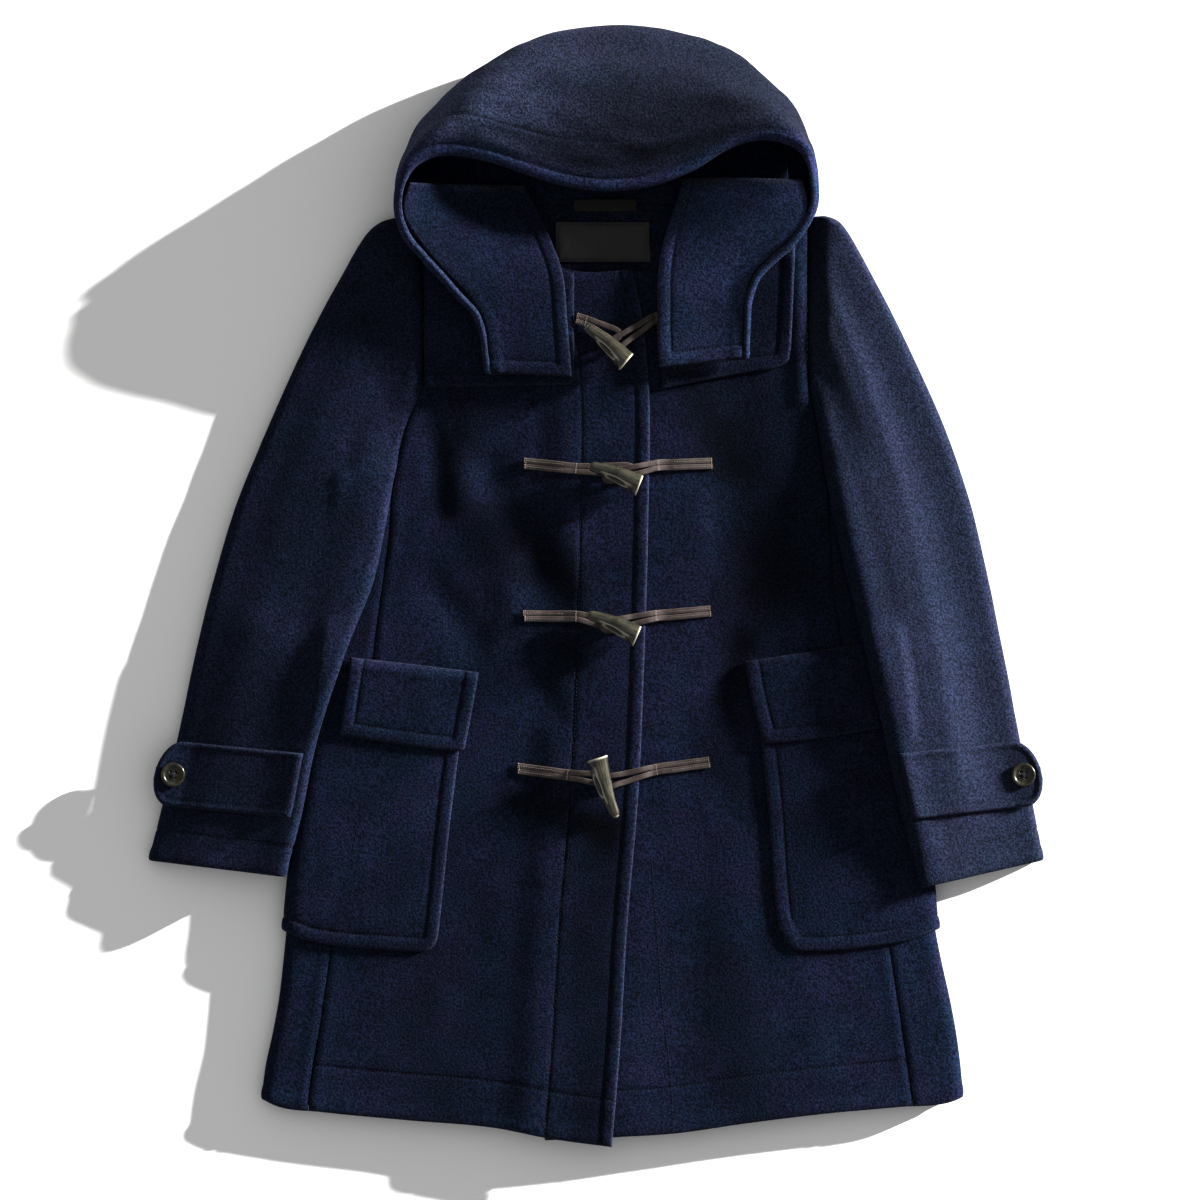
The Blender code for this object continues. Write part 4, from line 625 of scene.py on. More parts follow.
def shell(name, outer, edges, facing=(0, 0, 1), material="wool", wall=WALL, relief=None,
          seed=1, stitch_pitch=3.4, rise=None, floor=False, also=(), nap=0.0,
          rub_and_light=0.0, tone=0.0, swell=EDGE_RISE):
    """A cloth piece: a wall with rounded edges, rolled hems, grooves at the stitch lines and
    seams that dip in, with painted shade in the grooves and seams. edges gives for each edge its
    kind and the distances of its stitching; nap is how far the grey nap stands up and
    rub_and_light how far it is rubbed pale and painted pale where light falls, from 0 to 1, and
    tone is how much lighter (painted light) or darker (painted shade) the cloth is painted."""
    normal, sign = normals_of(outer, facing)
    shape = outer.shape[:2]
    middle = outer - normal * wall / 2
    nose = np.full(shape, 1e9)
    up, under, crease_shade, wear_and_light = (np.zeros(shape) for _ in range(4))
    for kind, stitches in sorted(set(edges.values())):
        names = [edge for edge, finish in edges.items() if finish == (kind, stitches)]
        gap = np.full(shape, 1e9)
        along = np.zeros(shape)
        for edge in names:
            distance, travelled = from_line(outer, edge_line(outer, edge))
            along = np.where(distance < gap, travelled, along)
            gap = np.minimum(distance, gap)
        if kind == "sewn":
            nose = np.minimum(nose, gap / SEWN_NOSE)
            up += SEAM_RIDGE * np.exp(-((gap - 6.0) / 3.5)**2) - SEAM_DIP * np.exp(-(gap / 2.6)**2)
            up += PUCKER * wobble(along, gap * 0.4, PUCKER_SIZE, seed + 5) * np.exp(-(gap / 9.0)**2)
            # painted shade along the seams
            crease_shade = np.maximum(crease_shade, np.exp(-(gap / 1.6)**2))
            continue
        nose = np.minimum(nose, gap / (wall / 2 + swell / 2))
        roll_width = min([*stitches, TOPSTITCH])
        roll = np.clip(1 - (2 * gap / roll_width - 1)**2, 0, 1)**0.7
        up += swell * roll
        under += EDGE_UNDER * roll
        wear_and_light = np.maximum(wear_and_light, np.exp(-(gap / 2.2)**2))
        for stitch in stitches:
            near = np.exp(-((gap - stitch) / GROOVE_HALF)**2)
            pucker = PUCKER * wobble(along, gap * 0.5, PUCKER_SIZE, seed + 7)
            up += pucker * np.exp(-((gap - stitch) / 6.0)**2)
            up -= GROOVE * near * (1 + 0.3 * wobble(along, 0 * gap, 5.0, seed + 8))
            # painted shade in the stitch grooves
            crease_shade = np.maximum(crease_shade, near)
    across, down = travel(outer, 1), travel(outer, 0)
    lumps = cloth_relief(outer[..., 0], outer[..., 1], seed) if relief is None else relief
    up += lumps * np.clip(nose / 3, 0, 1)
    if rise is not None:
        up += rise
    opening = np.sqrt(np.clip(1 - (1 - np.clip(nose, 0, 1))**2, 0, 1))[..., None]
    face = middle + normal * (wall / 2 + up)[..., None] * opening
    inside = middle - normal * (wall / 2 + under)[..., None] * opening
    if floor:
        face[..., 2] = np.maximum(face[..., 2], 0.0)
        inside[..., 2] = np.maximum(inside[..., 2], 0.0)
    rows, columns = shape
    count = rows * columns
    index = np.arange(count).reshape(shape)
    inner_index = index + count
    inner_index[0], inner_index[-1] = index[0], index[-1]
    inner_index[:, 0], inner_index[:, -1] = index[:, 0], index[:, -1]
    outer_faces = grid_faces(rows, columns, index)
    inner_faces = grid_faces(rows, columns, inner_index)[:, ::-1]
    if sign < 0:
        outer_faces, inner_faces = outer_faces[:, ::-1], inner_faces[:, ::-1]
    faces = np.concatenate([outer_faces, inner_faces])
    used = np.unique(faces)
    compact = np.zeros(2 * count, int)
    compact[used] = np.arange(len(used))
    vertices = np.concatenate([face.reshape(-1, 3), inside.reshape(-1, 3)])[used]
    uv = np.stack([across, down], axis=-1).reshape(-1, 2)
    raised = np.clip(nap + np.zeros(shape), 0, 1)
    # wear_and_light holds the worn turned edges and, through rub_and_light, painted light
    wear_and_light = np.maximum(wear_and_light, rub_and_light)
    # painted shadows and painted shade join the tone on faces that lie above the floor
    tone = tone + painted_shade(outer[..., 0], outer[..., 1]) * ease((outer[..., 2] - 6.0) / 5.0)
    twice = {key: np.tile(numbers.ravel(), 2)[used]
             for key, numbers in (("crease_shade", crease_shade), ("wear_and_light", wear_and_light), ("nap", raised), ("tone", tone))}
    item = make_object(name, vertices, compact[faces], material, [name, *also],
                       np.tile(uv, (2, 1))[used], twice)
    for kind, stitches in sorted(set(edges.values())):
        names = [edge for edge, finish in edges.items() if finish == (kind, stitches)]
        for stitch in stitches:
            for chain in edge_chains(np.concatenate([outer, normal], axis=2), names):
                line = inset_line(chain[:, :3], stitch, chain[:, 3:], sign, 2.0)
                if len(line) > 4:
                    add_stitches(item, line, stitch_pitch, STITCHES)
    return item


# ---------------------------------------------------------------- the body's surface
def outline_x(side, y):
    """The body's outline; side may be an array."""
    left, right = np.moveaxis(curve(OUTLINE, y), -1, 0)
    return np.where(np.asarray(side) < 0, left, right)


def seam_x(side, y):
    return curve(SIDE_SEAMS, y)[..., 0 if side < 0 else 1]


def free_edge_x(y):
    return curve(FREE_EDGE, y)


def straight(rows, at):
    """Read a table at a value of its first column, on straight lines between its rows."""
    return np.interp(at, *zip(*rows))


def shoulder_y(x):
    return straight(SHOULDER, x)


def fold_heights(x, y):
    """Height of the soft ridges and troughs."""
    total = np.zeros(np.broadcast(x, y).shape)
    for *stroke, height, reach in FOLDS + FINE_FOLDS:
        total = total + height * np.exp(-(from_stroke(x, y, *stroke)[0] / reach) ** 2)
    return total


def lift(x, y):
    """Height of the front's outer face above the level of its rolled sides."""
    half = CROWN_HALF - CROWN_FLARE * (y - CHEST_Y)
    crown = CROWN * np.clip(1 - ((x - CROWN_X) / half) ** 2, 0, 1)
    return crown + fold_heights(x, y)


def front_height(x, y):
    """Outer face of the lower front; it rolls down to the shoulder seam."""
    full = SIDE_FOLD + lift(x, y)
    below = np.clip((shoulder_y(x) - y) / SHOULDER_ROLL, 0, 1)
    return SHOULDER_TOP + (full - SHOULDER_TOP) * np.sqrt(np.clip(1 - (1 - below) ** 2, 0, 1))


def overlap_rise(x, y):
    """Share of one layer by which the upper front lies higher."""
    inside = x - (free_edge_x(y) - OVERLAP)
    return ease((inside + OVERLAP_START) / OVERLAP_CLIMB)


def upper_height(x, y):
    return front_height(x, y) + LAYER * overlap_rise(x, y)


def base_height(side, x, y):
    """Outer face of the front on one side of the body."""
    return upper_height(x, y) if side < 0 else front_height(x, y)


def roll_length():
    """Length of a quarter of the oval that the rolled side follows."""
    half = SIDE_FOLD / 2
    ramanujan = math.pi * (3 * (ROLL_REACH + half)
                           - math.sqrt((3 * ROLL_REACH + half) * (ROLL_REACH + 3 * half)))
    return ramanujan / 4


def side_point(side, y, arc, offset):
    """A point near the body's side. arc is measured from the outline, over the top (+) or
    along the floor (-); offset is outward from the body's face. side may be an array."""
    quarter = roll_length()
    half = SIDE_FOLD / 2
    angle = np.clip(arc / quarter, -1, 1) * math.pi / 2
    inward = ROLL_REACH * (1 - np.cos(angle)) + np.clip(np.abs(arc) - quarter, 0, None)
    z = half * (1 + np.sin(angle))
    normal_in = -np.cos(angle) / ROLL_REACH
    normal_z = np.sin(angle) / half
    size = np.hypot(normal_in, normal_z)
    edge = outline_x(side, y)
    raised = lift(edge - side * inward, y) * ease(arc / 40.0)
    x = edge - side * (inward + offset * normal_in / size)
    return points(x, y, z + offset * normal_z / size + raised)


# ---------------------------------------------------------------- body panels
def make_back():
    """Back panel: flat on the floor, its sides rolled up and over to the side seams."""
    quarter = roll_length()
    length = BACK_HEAD_Y - BACK_FOOT_Y
    low = marks((0, 0.35, 1.0, 2.0, 4.0, 8.0), SEWN_MARKS, length, 6.0)
    y_row = BACK_HEAD_Y - places(low, np.array([length]), down=True)[:, 0]
    rows = []
    for y in y_row:
        turned = float(ease((UNDERARM_Y + UNDERARM_TURN - y) / (2 * UNDERARM_TURN)))
        rolled = []
        for side in (-1, 1):
            silhouette = abs(float(outline_x(side, y))) - ROLL_REACH + quarter
            over = abs(float(seam_x(side, y)) - float(outline_x(side, y))) - ROLL_REACH + quarter - SEAM
            beyond = [over - mark for mark in SEWN_MARKS]
            beyond += [mix(beyond[-1], quarter, share) for share in np.linspace(0, 1, 7)[1:]]
            beyond += [quarter * share for share in np.linspace(1, -1, 15)[1:]]
            rolled.append([side * (silhouette + arc) for arc in beyond])
        inside = [mix(rolled[0][-1], rolled[1][-1], share) for share in np.linspace(0, 1, 60)[1:-1]]
        rolled = np.array(rolled[0] + inside + rolled[1][::-1])
        ends = [side * (abs(float(seam_x(side, y))) - SEAM) for side in (-1, 1)]
        flat_marks = marks(SEWN_MARKS, SEWN_MARKS, ends[1] - ends[0], 5.0)
        flat = ends[0] + np.interp(np.linspace(0, 1, len(rolled)), np.linspace(0, 1, len(flat_marks[0])),
                                   places(flat_marks, ends[1] - ends[0]))
        rows.append(mix(flat, rolled, turned))
    place = np.array(rows)
    side = np.where(place < 0, -1.0, 1.0)
    y = np.repeat(y_row[:, None], place.shape[1], axis=1)
    for _ in range(3):
        arc = np.abs(place) - (np.abs(outline_x(side, y)) - ROLL_REACH + quarter)
        x = side_point(side, y, arc, 0.0)[..., 0]
        front_hem = np.where(side < 0, curve(HEM_LEFT, x), curve(HEM_RIGHT, x))
        hem = np.where(arc < 0, curve(HEM_BACK, x), front_hem)
        y = y_row[:, None] + (curve(BACK_TOP, x) - BACK_HEAD_Y) * ease((y_row[:, None] - 270) / 69.0)
        y += (hem - BACK_FOOT_Y) * ease((-400 - y_row[:, None]) / 72.0)
    outer = side_point(side, y, arc, 0.0)
    lumps = 0.25 * wobble(place, y, 30.0, 3) * ease(arc / 8.0)
    shell("back", outer, {"left": SEWN, "right": SEWN, "top": SEWN, "bottom": TURNED}, facing=(0, 0, -1),
          relief=lumps, floor=True)


def front(name, left, right, top, hem, height, free, seed, lines=(), also=()):
    """One front between its four edges; free is the edge with the facing or the topstitching."""
    free_marks = edge_marks(TOPSTITCH, FACING_STITCH)
    seam_marks = list(SEWN_MARKS)
    start, end = (seam_marks, free_marks) if free == "right" else (free_marks[:14], seam_marks)
    columns = marks(start, end, 300)
    rows = marks(SEWN_MARKS, edge_marks(HEM_STITCH), 800)
    x, y = panel(left, right, top, hem, columns, rows)
    edges = {"top": SEWN, "bottom": ("turned", (HEM_STITCH,)), "left": SEWN if free == "right" else STITCHED,
             "right": ("turned", (TOPSTITCH, FACING_STITCH)) if free == "right" else SEWN}
    item = shell(name, points(x, y, height(x, y)), edges, seed=seed, also=also)
    for line in lines:
        at = np.linspace(line[0][0], line[-1][0], 60)
        plan = curve(line, at)
        add_stitches(item, points(plan, at, height(plan, at)), 3.4, STITCHES)
    return item


def make_fronts():
    """The upper front with its facing, and the lower front that reaches under it."""
    front("front_left", lambda v: seam_x(-1, v) + SEAM, free_edge_x, lambda v: curve(FRONT_TOP, v),
          lambda v: curve(HEM_LEFT, v), upper_height, "right", 11)
    front("front_right", lambda v: free_edge_x(v) - OVERLAP, lambda v: seam_x(1, v) - SEAM,
          lambda v: curve(FRONT_TOP_RIGHT, v), lambda v: curve(HEM_RIGHT, v), front_height, "left", 23,
          [UNDERLAP_LINE], ["front_right_shoulder"])


def shoulder_air(x, y):
    """Extra air under a yoke where the front rolls down to the shoulder seam."""
    return SHOULDER_AIR * ease(1 - (shoulder_y(x) - y) / SHOULDER_AIR_REACH)


def make_yokes():
    """Storm flaps over the shoulders, under the hood's lapels."""
    free = edge_marks(TOPSTITCH)
    x, y = panel(lambda v: YOKE_LEFT_START + 0 * v, lambda v: straight(YOKE_LEFT_INNER, v),
                 lambda v: curve(FRONT_TOP, v) - YOKE_BELOW_SEAM,
                 lambda v: straight(YOKE_LEFT_FOOT, v), marks(SEWN_MARKS, free, 130),
                 marks(SEWN_MARKS, free, 140))
    z = upper_height(x, y) + LAYER + shoulder_air(x, y)
    shell("yoke_left", points(x, y, z), {"top": SEWN, "left": SEWN, "right": STITCHED, "bottom": STITCHED},
          seed=31)
    x, y = panel(lambda v: YOKE_RIGHT_START + 0 * v, lambda v: straight(YOKE_RIGHT_OUTER, v),
                 lambda v: curve(FRONT_TOP_RIGHT, v) - YOKE_BELOW_SEAM,
                 lambda v: curve(YOKE_RIGHT_FOOT, v), marks(free[:14], free, 120),
                 marks(SEWN_MARKS, free, 130))
    z = front_height(x, y) + LAYER + shoulder_air(x, y)
    edges = {"top": SEWN, "left": STITCHED, "right": STITCHED, "bottom": STITCHED}
    shell("yoke_right", points(x, y, z), edges, seed=37)


# ---------------------------------------------------------------- pockets
def rounded_foot(table, inner_edge, direction):
    """A pocket's foot edge whose inner corner is an arc."""
    def foot(x):
        y = curve(table, x)
        corner_x = inner_edge - direction * POCKET_CORNER
        past = np.clip((x - corner_x) * direction, 0, POCKET_CORNER)
        return y + POCKET_CORNER - np.sqrt(1.0001 * POCKET_CORNER**2 - past**2)
    return foot


def pocket_height(x, y, side):
    """Outer face of a patch pocket over its front."""
    inner = curve(POCKET_LEFT if side < 0 else POCKET_RIGHT, y)
    puff = POCKET_PUFF * ease(np.abs(x - inner) / POCKET_PUFF_RAMP)
    return base_height(side, x, y) + LAYER + puff * ease((y - POCKET_PUFF_FOOT_Y) / POCKET_PUFF_RAMP)


def make_pockets():
    """Patch pockets that reach round the rolled sides to the outline."""
    quarter = roll_length()
    for side, word, edge, foot_table, corner, flap_top in (
            (-1, "left", POCKET_LEFT, POCKET_LEFT_FOOT, POCKET_INNER_X[0], FLAP_LEFT_TOP),
            (1, "right", POCKET_RIGHT, POCKET_RIGHT_FOOT, POCKET_INNER_X[1], FLAP_RIGHT_TOP)):
        foot = rounded_foot(foot_table, corner, -side)
        columns = marks(edge_marks(TOPSTITCH), NOSE_MARKS, 160, 4.0)
        rows = marks(NOSE_MARKS, edge_marks(TOPSTITCH), 240)
        shape = (len(rows[0]), len(columns[0]))
        x = np.zeros(shape) + side * 190.0
        y = np.zeros(shape) - 200.0
        for _ in range(9):
            reach = np.abs(curve(edge, y) - outline_x(side, y)) - ROLL_REACH + quarter
            arc = reach - places(columns, reach)
            x = side_point(side, y, arc, 0.0)[..., 0]
            top = curve(flap_top, x) - MOUTH_BELOW
            y = top - places(rows, top - foot(x), down=True)
        thick = (pocket_height(x, y, side) - base_height(side, x, y)) * ease(arc / (quarter * 0.6) + 0.3)
        outer = side_point(side, y, arc, np.maximum(thick, LAYER))
        if side < 0:
            outer[..., 2] += LAYER * overlap_rise(x, y)
        edges = {"left": STITCHED, "bottom": STITCHED, "top": TURNED, "right": TURNED}
        shell("pocket_" + word, outer, edges, seed=41 + side)


def make_flaps():
    """Pocket flaps that lie on the fronts above and on the pockets below."""
    for side, word, edge, corner, head_table, foot_table in (
            (-1, "left", FLAP_LEFT, FLAP_INNER_X[0], FLAP_LEFT_TOP, FLAP_LEFT_FOOT),
            (1, "right", FLAP_RIGHT, FLAP_INNER_X[1], FLAP_RIGHT_TOP, FLAP_RIGHT_FOOT)):
        def outer_edge(y, own=side):
            return outline_x(own, y) - own * FLAP_SHORT

        def inner_edge(y, table=edge):
            return curve(table, y)

        def head(x, table=head_table):
            return curve(table, x)

        def foot(x, table=foot_table, end=corner):
            past = np.clip(FLAP_CORNER - np.abs(x - end), 0, FLAP_CORNER)
            return curve(table, x) + FLAP_CORNER - np.sqrt(1.02 * FLAP_CORNER**2 - past**2)

        ends = (outer_edge, inner_edge) if side < 0 else (inner_edge, outer_edge)
        free = edge_marks(TOPSTITCH)
        x, y = panel(*ends, head, foot, marks(free, free, 130, 4.0), marks(NOSE_MARKS, free, 74, 4.0))
        base = base_height(side, x, y)
        stacked = pocket_height(x, y, side) - base + LAYER
        z = base + mix(LAYER, stacked, ease((head(x) - y) / 9.0))
        edges = {"left": STITCHED, "right": STITCHED, "bottom": STITCHED, "top": TURNED}
        shell("pocket_flap_" + word, points(x, y, z), edges, seed=51 + side)


# ---------------------------------------------------------------- sleeves
def climb(side, x, y):
    """Height of what lies under a sleeve: the floor, or the body's rolled side."""
    beside = np.clip(side * (x - outline_x(side, y)), 0, None)
    above = np.clip(y - (UNDERARM_Y + 2), 0, None)
    share = ease(1 - (np.hypot(beside, above) - 2.0) / RAMP)
    return share * (curve(SIDE_STACK, y) + 1.0)


def sleeve_row(side, station):
    """The columns of a sleeve's table, read between its stations."""
    return np.moveaxis(curve(SLEEVE_LEFT if side < 0 else SLEEVE_RIGHT, station), -1, 0)


def sleeve_surface(side, station, reach, face):
    """A sleeve's outer face: reach is from the outer edge; face is +1 above and -1 below."""
    ox, oy, ix, iy, outer_top, inner_top, puff, roll = sleeve_row(side, station)
    width = np.hypot(ix - ox, iy - oy)
    reach = np.clip(reach, 0, width)
    x = ox + (ix - ox) / width * reach
    y = oy + (iy - oy) / width * reach
    share = np.clip(reach / width, 0, 1)
    seam = side * seam_x(side, y) - 4 * SEAM
    slack = np.clip(side * ix - seam, 0, None)
    slack = slack * ease((4.5 - slack) / 2.0) * ease((share - 0.88) / 0.12)
    x = np.where(y > UNDERARM_Y, side * np.maximum(side * x - slack, seam), x)
    low = climb(side, x, y)
    level = mix(outer_top, inner_top, ease(share)) + puff * (1 - (2 * share - 1) ** 2)
    high = np.maximum(level, low + MIN_SLEEVE)
    from_edge = np.minimum(reach, width - reach)
    open_share = np.sqrt(np.clip(1 - (1 - np.minimum(from_edge / roll, 1)) ** 2, 0, 1))
    return points(x, y, (high + low) / 2 + face * open_share * (high - low) / 2)


def sleeve_size(side, station):
    """Width of a flattened sleeve and the reach of the roll at its edges."""
    ox, oy, ix, iy, *_, roll = sleeve_row(side, station)
    return np.hypot(ix - ox, iy - oy), roll


def sleeve_folds(side, station, reach, width):
    """Height of the soft ridges and troughs on a sleeve's upper face."""
    total = 0.0 * (station + reach)
    for start, end, share0, share1, height, spread in SLEEVE_FOLDS[side]:
        along = np.clip((station - start) / (end - start), 0, 1)
        off = np.maximum(np.maximum(start - station, station - end), 0) * SLEEVE_LENGTH / LAST_STATION
        gap = (reach - mix(share0, share1, along) * width) / spread
        total = total + height * np.exp(-gap**2 - (off / 30.0)**2)
    return total


def armhole_valley(side, x, y):
    """How far a sleeve's upper face sinks to meet the shoulder, with a soft ridge beside it."""
    away = side * (x - seam_x(side, y))
    deep, wide, ridge = ARMHOLE[side]
    shape = ridge * np.exp(-((away - 2.2 * wide) / wide)**2) - deep * np.exp(-(away / wide)**2)
    return shape * ease((y - 150.0) / 45.0)


def make_sleeves():
    """Two-piece sleeves: the upper piece goes over the top and round both edges."""
    pitch = SLEEVE_LENGTH / LAST_STATION
    cuff = np.array(edge_marks(CUFF_STITCH))[::-1]
    from_cuff = LAST_STATION - cuff / pitch
    near_top = np.array([0, 0.006, 0.02, 0.04, 0.075, 0.12, 0.18, 0.26, 0.36, 0.46, 0.56, 0.66])
    stations = np.concatenate([near_top, np.linspace(0.76, from_cuff[0], 112), from_cuff[1:]])[:, None]
    arc = 1 - np.cos(np.linspace(0, math.pi / 2, 10))
    for side, word in SIDES:
        width, roll = sleeve_size(side, stations)
        seam = np.full_like(width, UNDER_SEAM_IN)
        below = [seam - mark for mark in SEWN_MARKS[:-1]]
        below += [mix(below[-1], roll, share) for share in (0.5, 1.0)]
        below += [roll * share for share in arc[-2::-1]]
        above = [roll * share for share in arc[1:]]
        middle = [mix(roll, width - roll, share) for share in np.linspace(0, 1, 26)[1:-1]]
        reach = np.concatenate(below + above + middle + [width - r for r in above[::-1]]
                               + [width - r for r in below[::-1]], axis=1)
        face = np.ones(reach.shape[1])
        face[:len(below) - 1] = -1
        face[reach.shape[1] - len(below) + 1:] = -1
        outer = sleeve_surface(side, stations, reach, face)
        distance = stations * SLEEVE_LENGTH / LAST_STATION
        shift = sleeve_folds(side, stations, reach, width)
        shift = shift + armhole_valley(side, outer[..., 0], outer[..., 1])
        outer[..., 2] += shift * (face > 0) * ease(np.minimum(reach, width - reach) / roll)
        lumps = cloth_relief(distance + 0 * reach, reach, 61 + side) * (face > 0)
        edges = {"left": SEWN, "right": SEWN, "top": SEWN, "bottom": ("turned", (CUFF_STITCH,))}
        # painted light: the right sleeve's upper face is painted paler towards its outer side; the left
        # sleeve is rubbed evenly pale
        shell("sleeve_%s_upper" % word, outer, edges, relief=lumps, seed=63 + side,
              floor=True,
              rub_and_light=0.25 if side < 0 else 0.9 * ease((1.08 - reach / width) / 0.35) * (face > 0))
        inside = marks(SEWN_MARKS, SEWN_MARKS, 90, 6.0)
        start = seam + SEAM
        reach = start + places(inside, width - 2 * start)
        outer = sleeve_surface(side, stations, reach, -1.0)
        shell("sleeve_%s_under" % word, outer, {**edges, "bottom": TURNED}, facing=(0, 0, -1),
              relief=0 * reach, seed=71, floor=True)


# ---------------------------------------------------------------- cuffs
def strap_frame(side, station, reach):
    """A point on the cuff strap's under face; it runs level under the button and past the edge."""
    ox, oy, ix, iy = sleeve_row(side, station)[:4]
    width = np.hypot(ix - ox, iy - oy)
    x = ox + (ix - ox) / width * reach
    y = oy + (iy - oy) / width * reach
    inside = np.clip(reach, STRAP_LEVEL, width - STRAP_SHORT)
    top = sleeve_surface(side, station, inside, 1.0)[..., 2] + sleeve_folds(side, station, inside, width)
    return points(x, y, top + LAY + 0.3)


def make_cuffs():
    """Straps of doubled cloth with a round end, and turned buttons with four holes."""
    middle = sum(STRAP_STATIONS) / 2
    half = (STRAP_STATIONS[1] - STRAP_STATIONS[0]) / 2
    for side, word in SIDES:
        width = float(sleeve_size(side, np.array(middle))[0])
        tip = STRAP_PROUD * (1 - np.cos(np.linspace(0, 1.2, 14))) - STRAP_PROUD
        body = np.arange(tip[-1] + 2.2, width - STRAP_SHORT, 2.2)
        reach = np.concatenate([tip, body])[None, :]
        fall = np.array([-1, -0.985, -0.95, -0.9, -0.83, -0.76, -0.7, -0.64, -0.56, -0.45, -0.3, -0.15, 0.0])
        fall = np.concatenate([fall, -fall[-2::-1]])[:, None]
        from_end = reach + STRAP_PROUD
        pinch = np.sqrt(np.clip(1 - (1 - np.minimum(from_end / STRAP_ROUND, 1)) ** 2, 0.04, 1))
        station = middle + fall * half * pinch
        own = sleeve_size(side, station)[0]
        outer = strap_frame(side, station, np.where(reach > 0, reach * own / width, reach))
        outer[..., 2] += STRAP_THICK
        edges = {**dict.fromkeys(("top", "left", "bottom"), ("turned", (STRAP_STITCH,))), "right": SEWN}
        # painted light: the right strap is painted paler than the left
        shell("cuff_strap_" + word, outer, edges, wall=STRAP_THICK, seed=81 + side,
              rub_and_light=0.3 if side < 0 else 0.9)
        make_button(word, side)


def make_button(word, side):
    """A turned button with a raised rim, four holes and the threads through them."""
    sides = 72
    place = strap_frame(side, np.array(BUTTON_STATION), np.array(BUTTON_IN))
    place = place + np.array([0, 0, STRAP_THICK + LAY])
    profile = []
    for (r0, h0), (r1, h1) in zip(BUTTON_PROFILE, BUTTON_PROFILE[1:]):
        for share in (0.0, 0.5):
            profile.append((mix(r0, r1, share), mix(h0, h1, share)))
    profile = profile[1:]
    angle = 2 * math.pi * np.arange(sides) / sides
    rings, hole_shade_of = [], [0.0]
    for radius, height in profile:
        x = BUTTON_R * radius * np.cos(angle)
        y = BUTTON_R * radius * np.sin(angle)
        z = np.full(sides, BUTTON_THICK * height)
        hole_and_shade = np.zeros(sides)
        if height > 0.5 and radius < 0.6:
            for turn in range(4):
                at = math.radians(BUTTON_HOLE_TURN + 90 * turn)
                off = np.hypot(x - BUTTON_HOLE_AT * math.cos(at), y - BUTTON_HOLE_AT * math.sin(at))
                hole_and_shade = np.maximum(hole_and_shade, ease((BUTTON_HOLE_R + 0.25 - off) / 0.5))
            z = z - BUTTON_HOLE_DEEP * hole_and_shade
        rings.append(place + points(x, y, z))
        # the hole mask also gives the painted shade in the holes
        hole_shade_of.extend(hole_and_shade)
    hole_shade_of.append(0.0)
    floor = np.array([0, 0, BUTTON_THICK * BUTTON_FLOOR])
    vertices, faces = round_mesh(place, np.array(rings), place + floor)
    make_object("cuff_button_" + word, vertices, faces, "button", ["cuff_button_" + word],
                values={"hole_and_shade": hole_shade_of})
    for turn in (0, 1):
        at = [math.radians(BUTTON_HOLE_TURN + 90 * (2 * k + turn)) for k in (0, 1)]
        ends = [place + np.array([BUTTON_HOLE_AT * math.cos(a), BUTTON_HOLE_AT * math.sin(a),
                                  BUTTON_THICK * BUTTON_FLOOR + 0.25 + 0.35 * turn]) for a in at]
        for offset in (-0.45, 0.45):
            way = unit(ends[1] - ends[0])
            beside = np.array([-way[1], way[0], 0]) * offset
            path = [mix(ends[0], ends[1], share) + beside
                    + np.array([0, 0, 0.5 * math.sin(math.pi * share) - 0.9 * (abs(2 * share - 1) > 0.9)])
                    for share in np.linspace(0, 1, 9)]
            THREADS.append(np.array(path))


# ---------------------------------------------------------------- hood
def hood_station(position):
    """Four points of the hood's outer face at a place along the face opening."""
    return curve(numbered(HOOD_SECTIONS), position).reshape(*np.shape(position), 4, 3)


def hood_face(position, share):
    """Points of the hood's outer face, from the rim (0) to its end near the floor (1)."""
    rim, crest, side, end = hood_station(position)
    legs = [np.linalg.norm(b - a) + 1e-6 for a, b in ((rim, crest), (crest, side), (side, end))]
    key = np.cumsum([0.0] + legs) / sum(legs)
    rows = [(key[0], *rim), (key[1], *crest), (key[2], *side), (key[3], *end)]
    if legs[1] > 12.0:
        shoulder = mix(crest, side, 0.62) + np.array([0, 0, (crest[2] - side[2]) * 0.3])
        rows.insert(2, (mix(key[1], key[2], 0.62), *shoulder))
    if legs[2] > 12.0:
        low = mix(side, end, 0.45)
        low[2] = mix(side[2], end[2], 0.82)
        rows.insert(-1, (mix(key[-2], key[-1], 0.45), *low))
    return curve(rows, share)


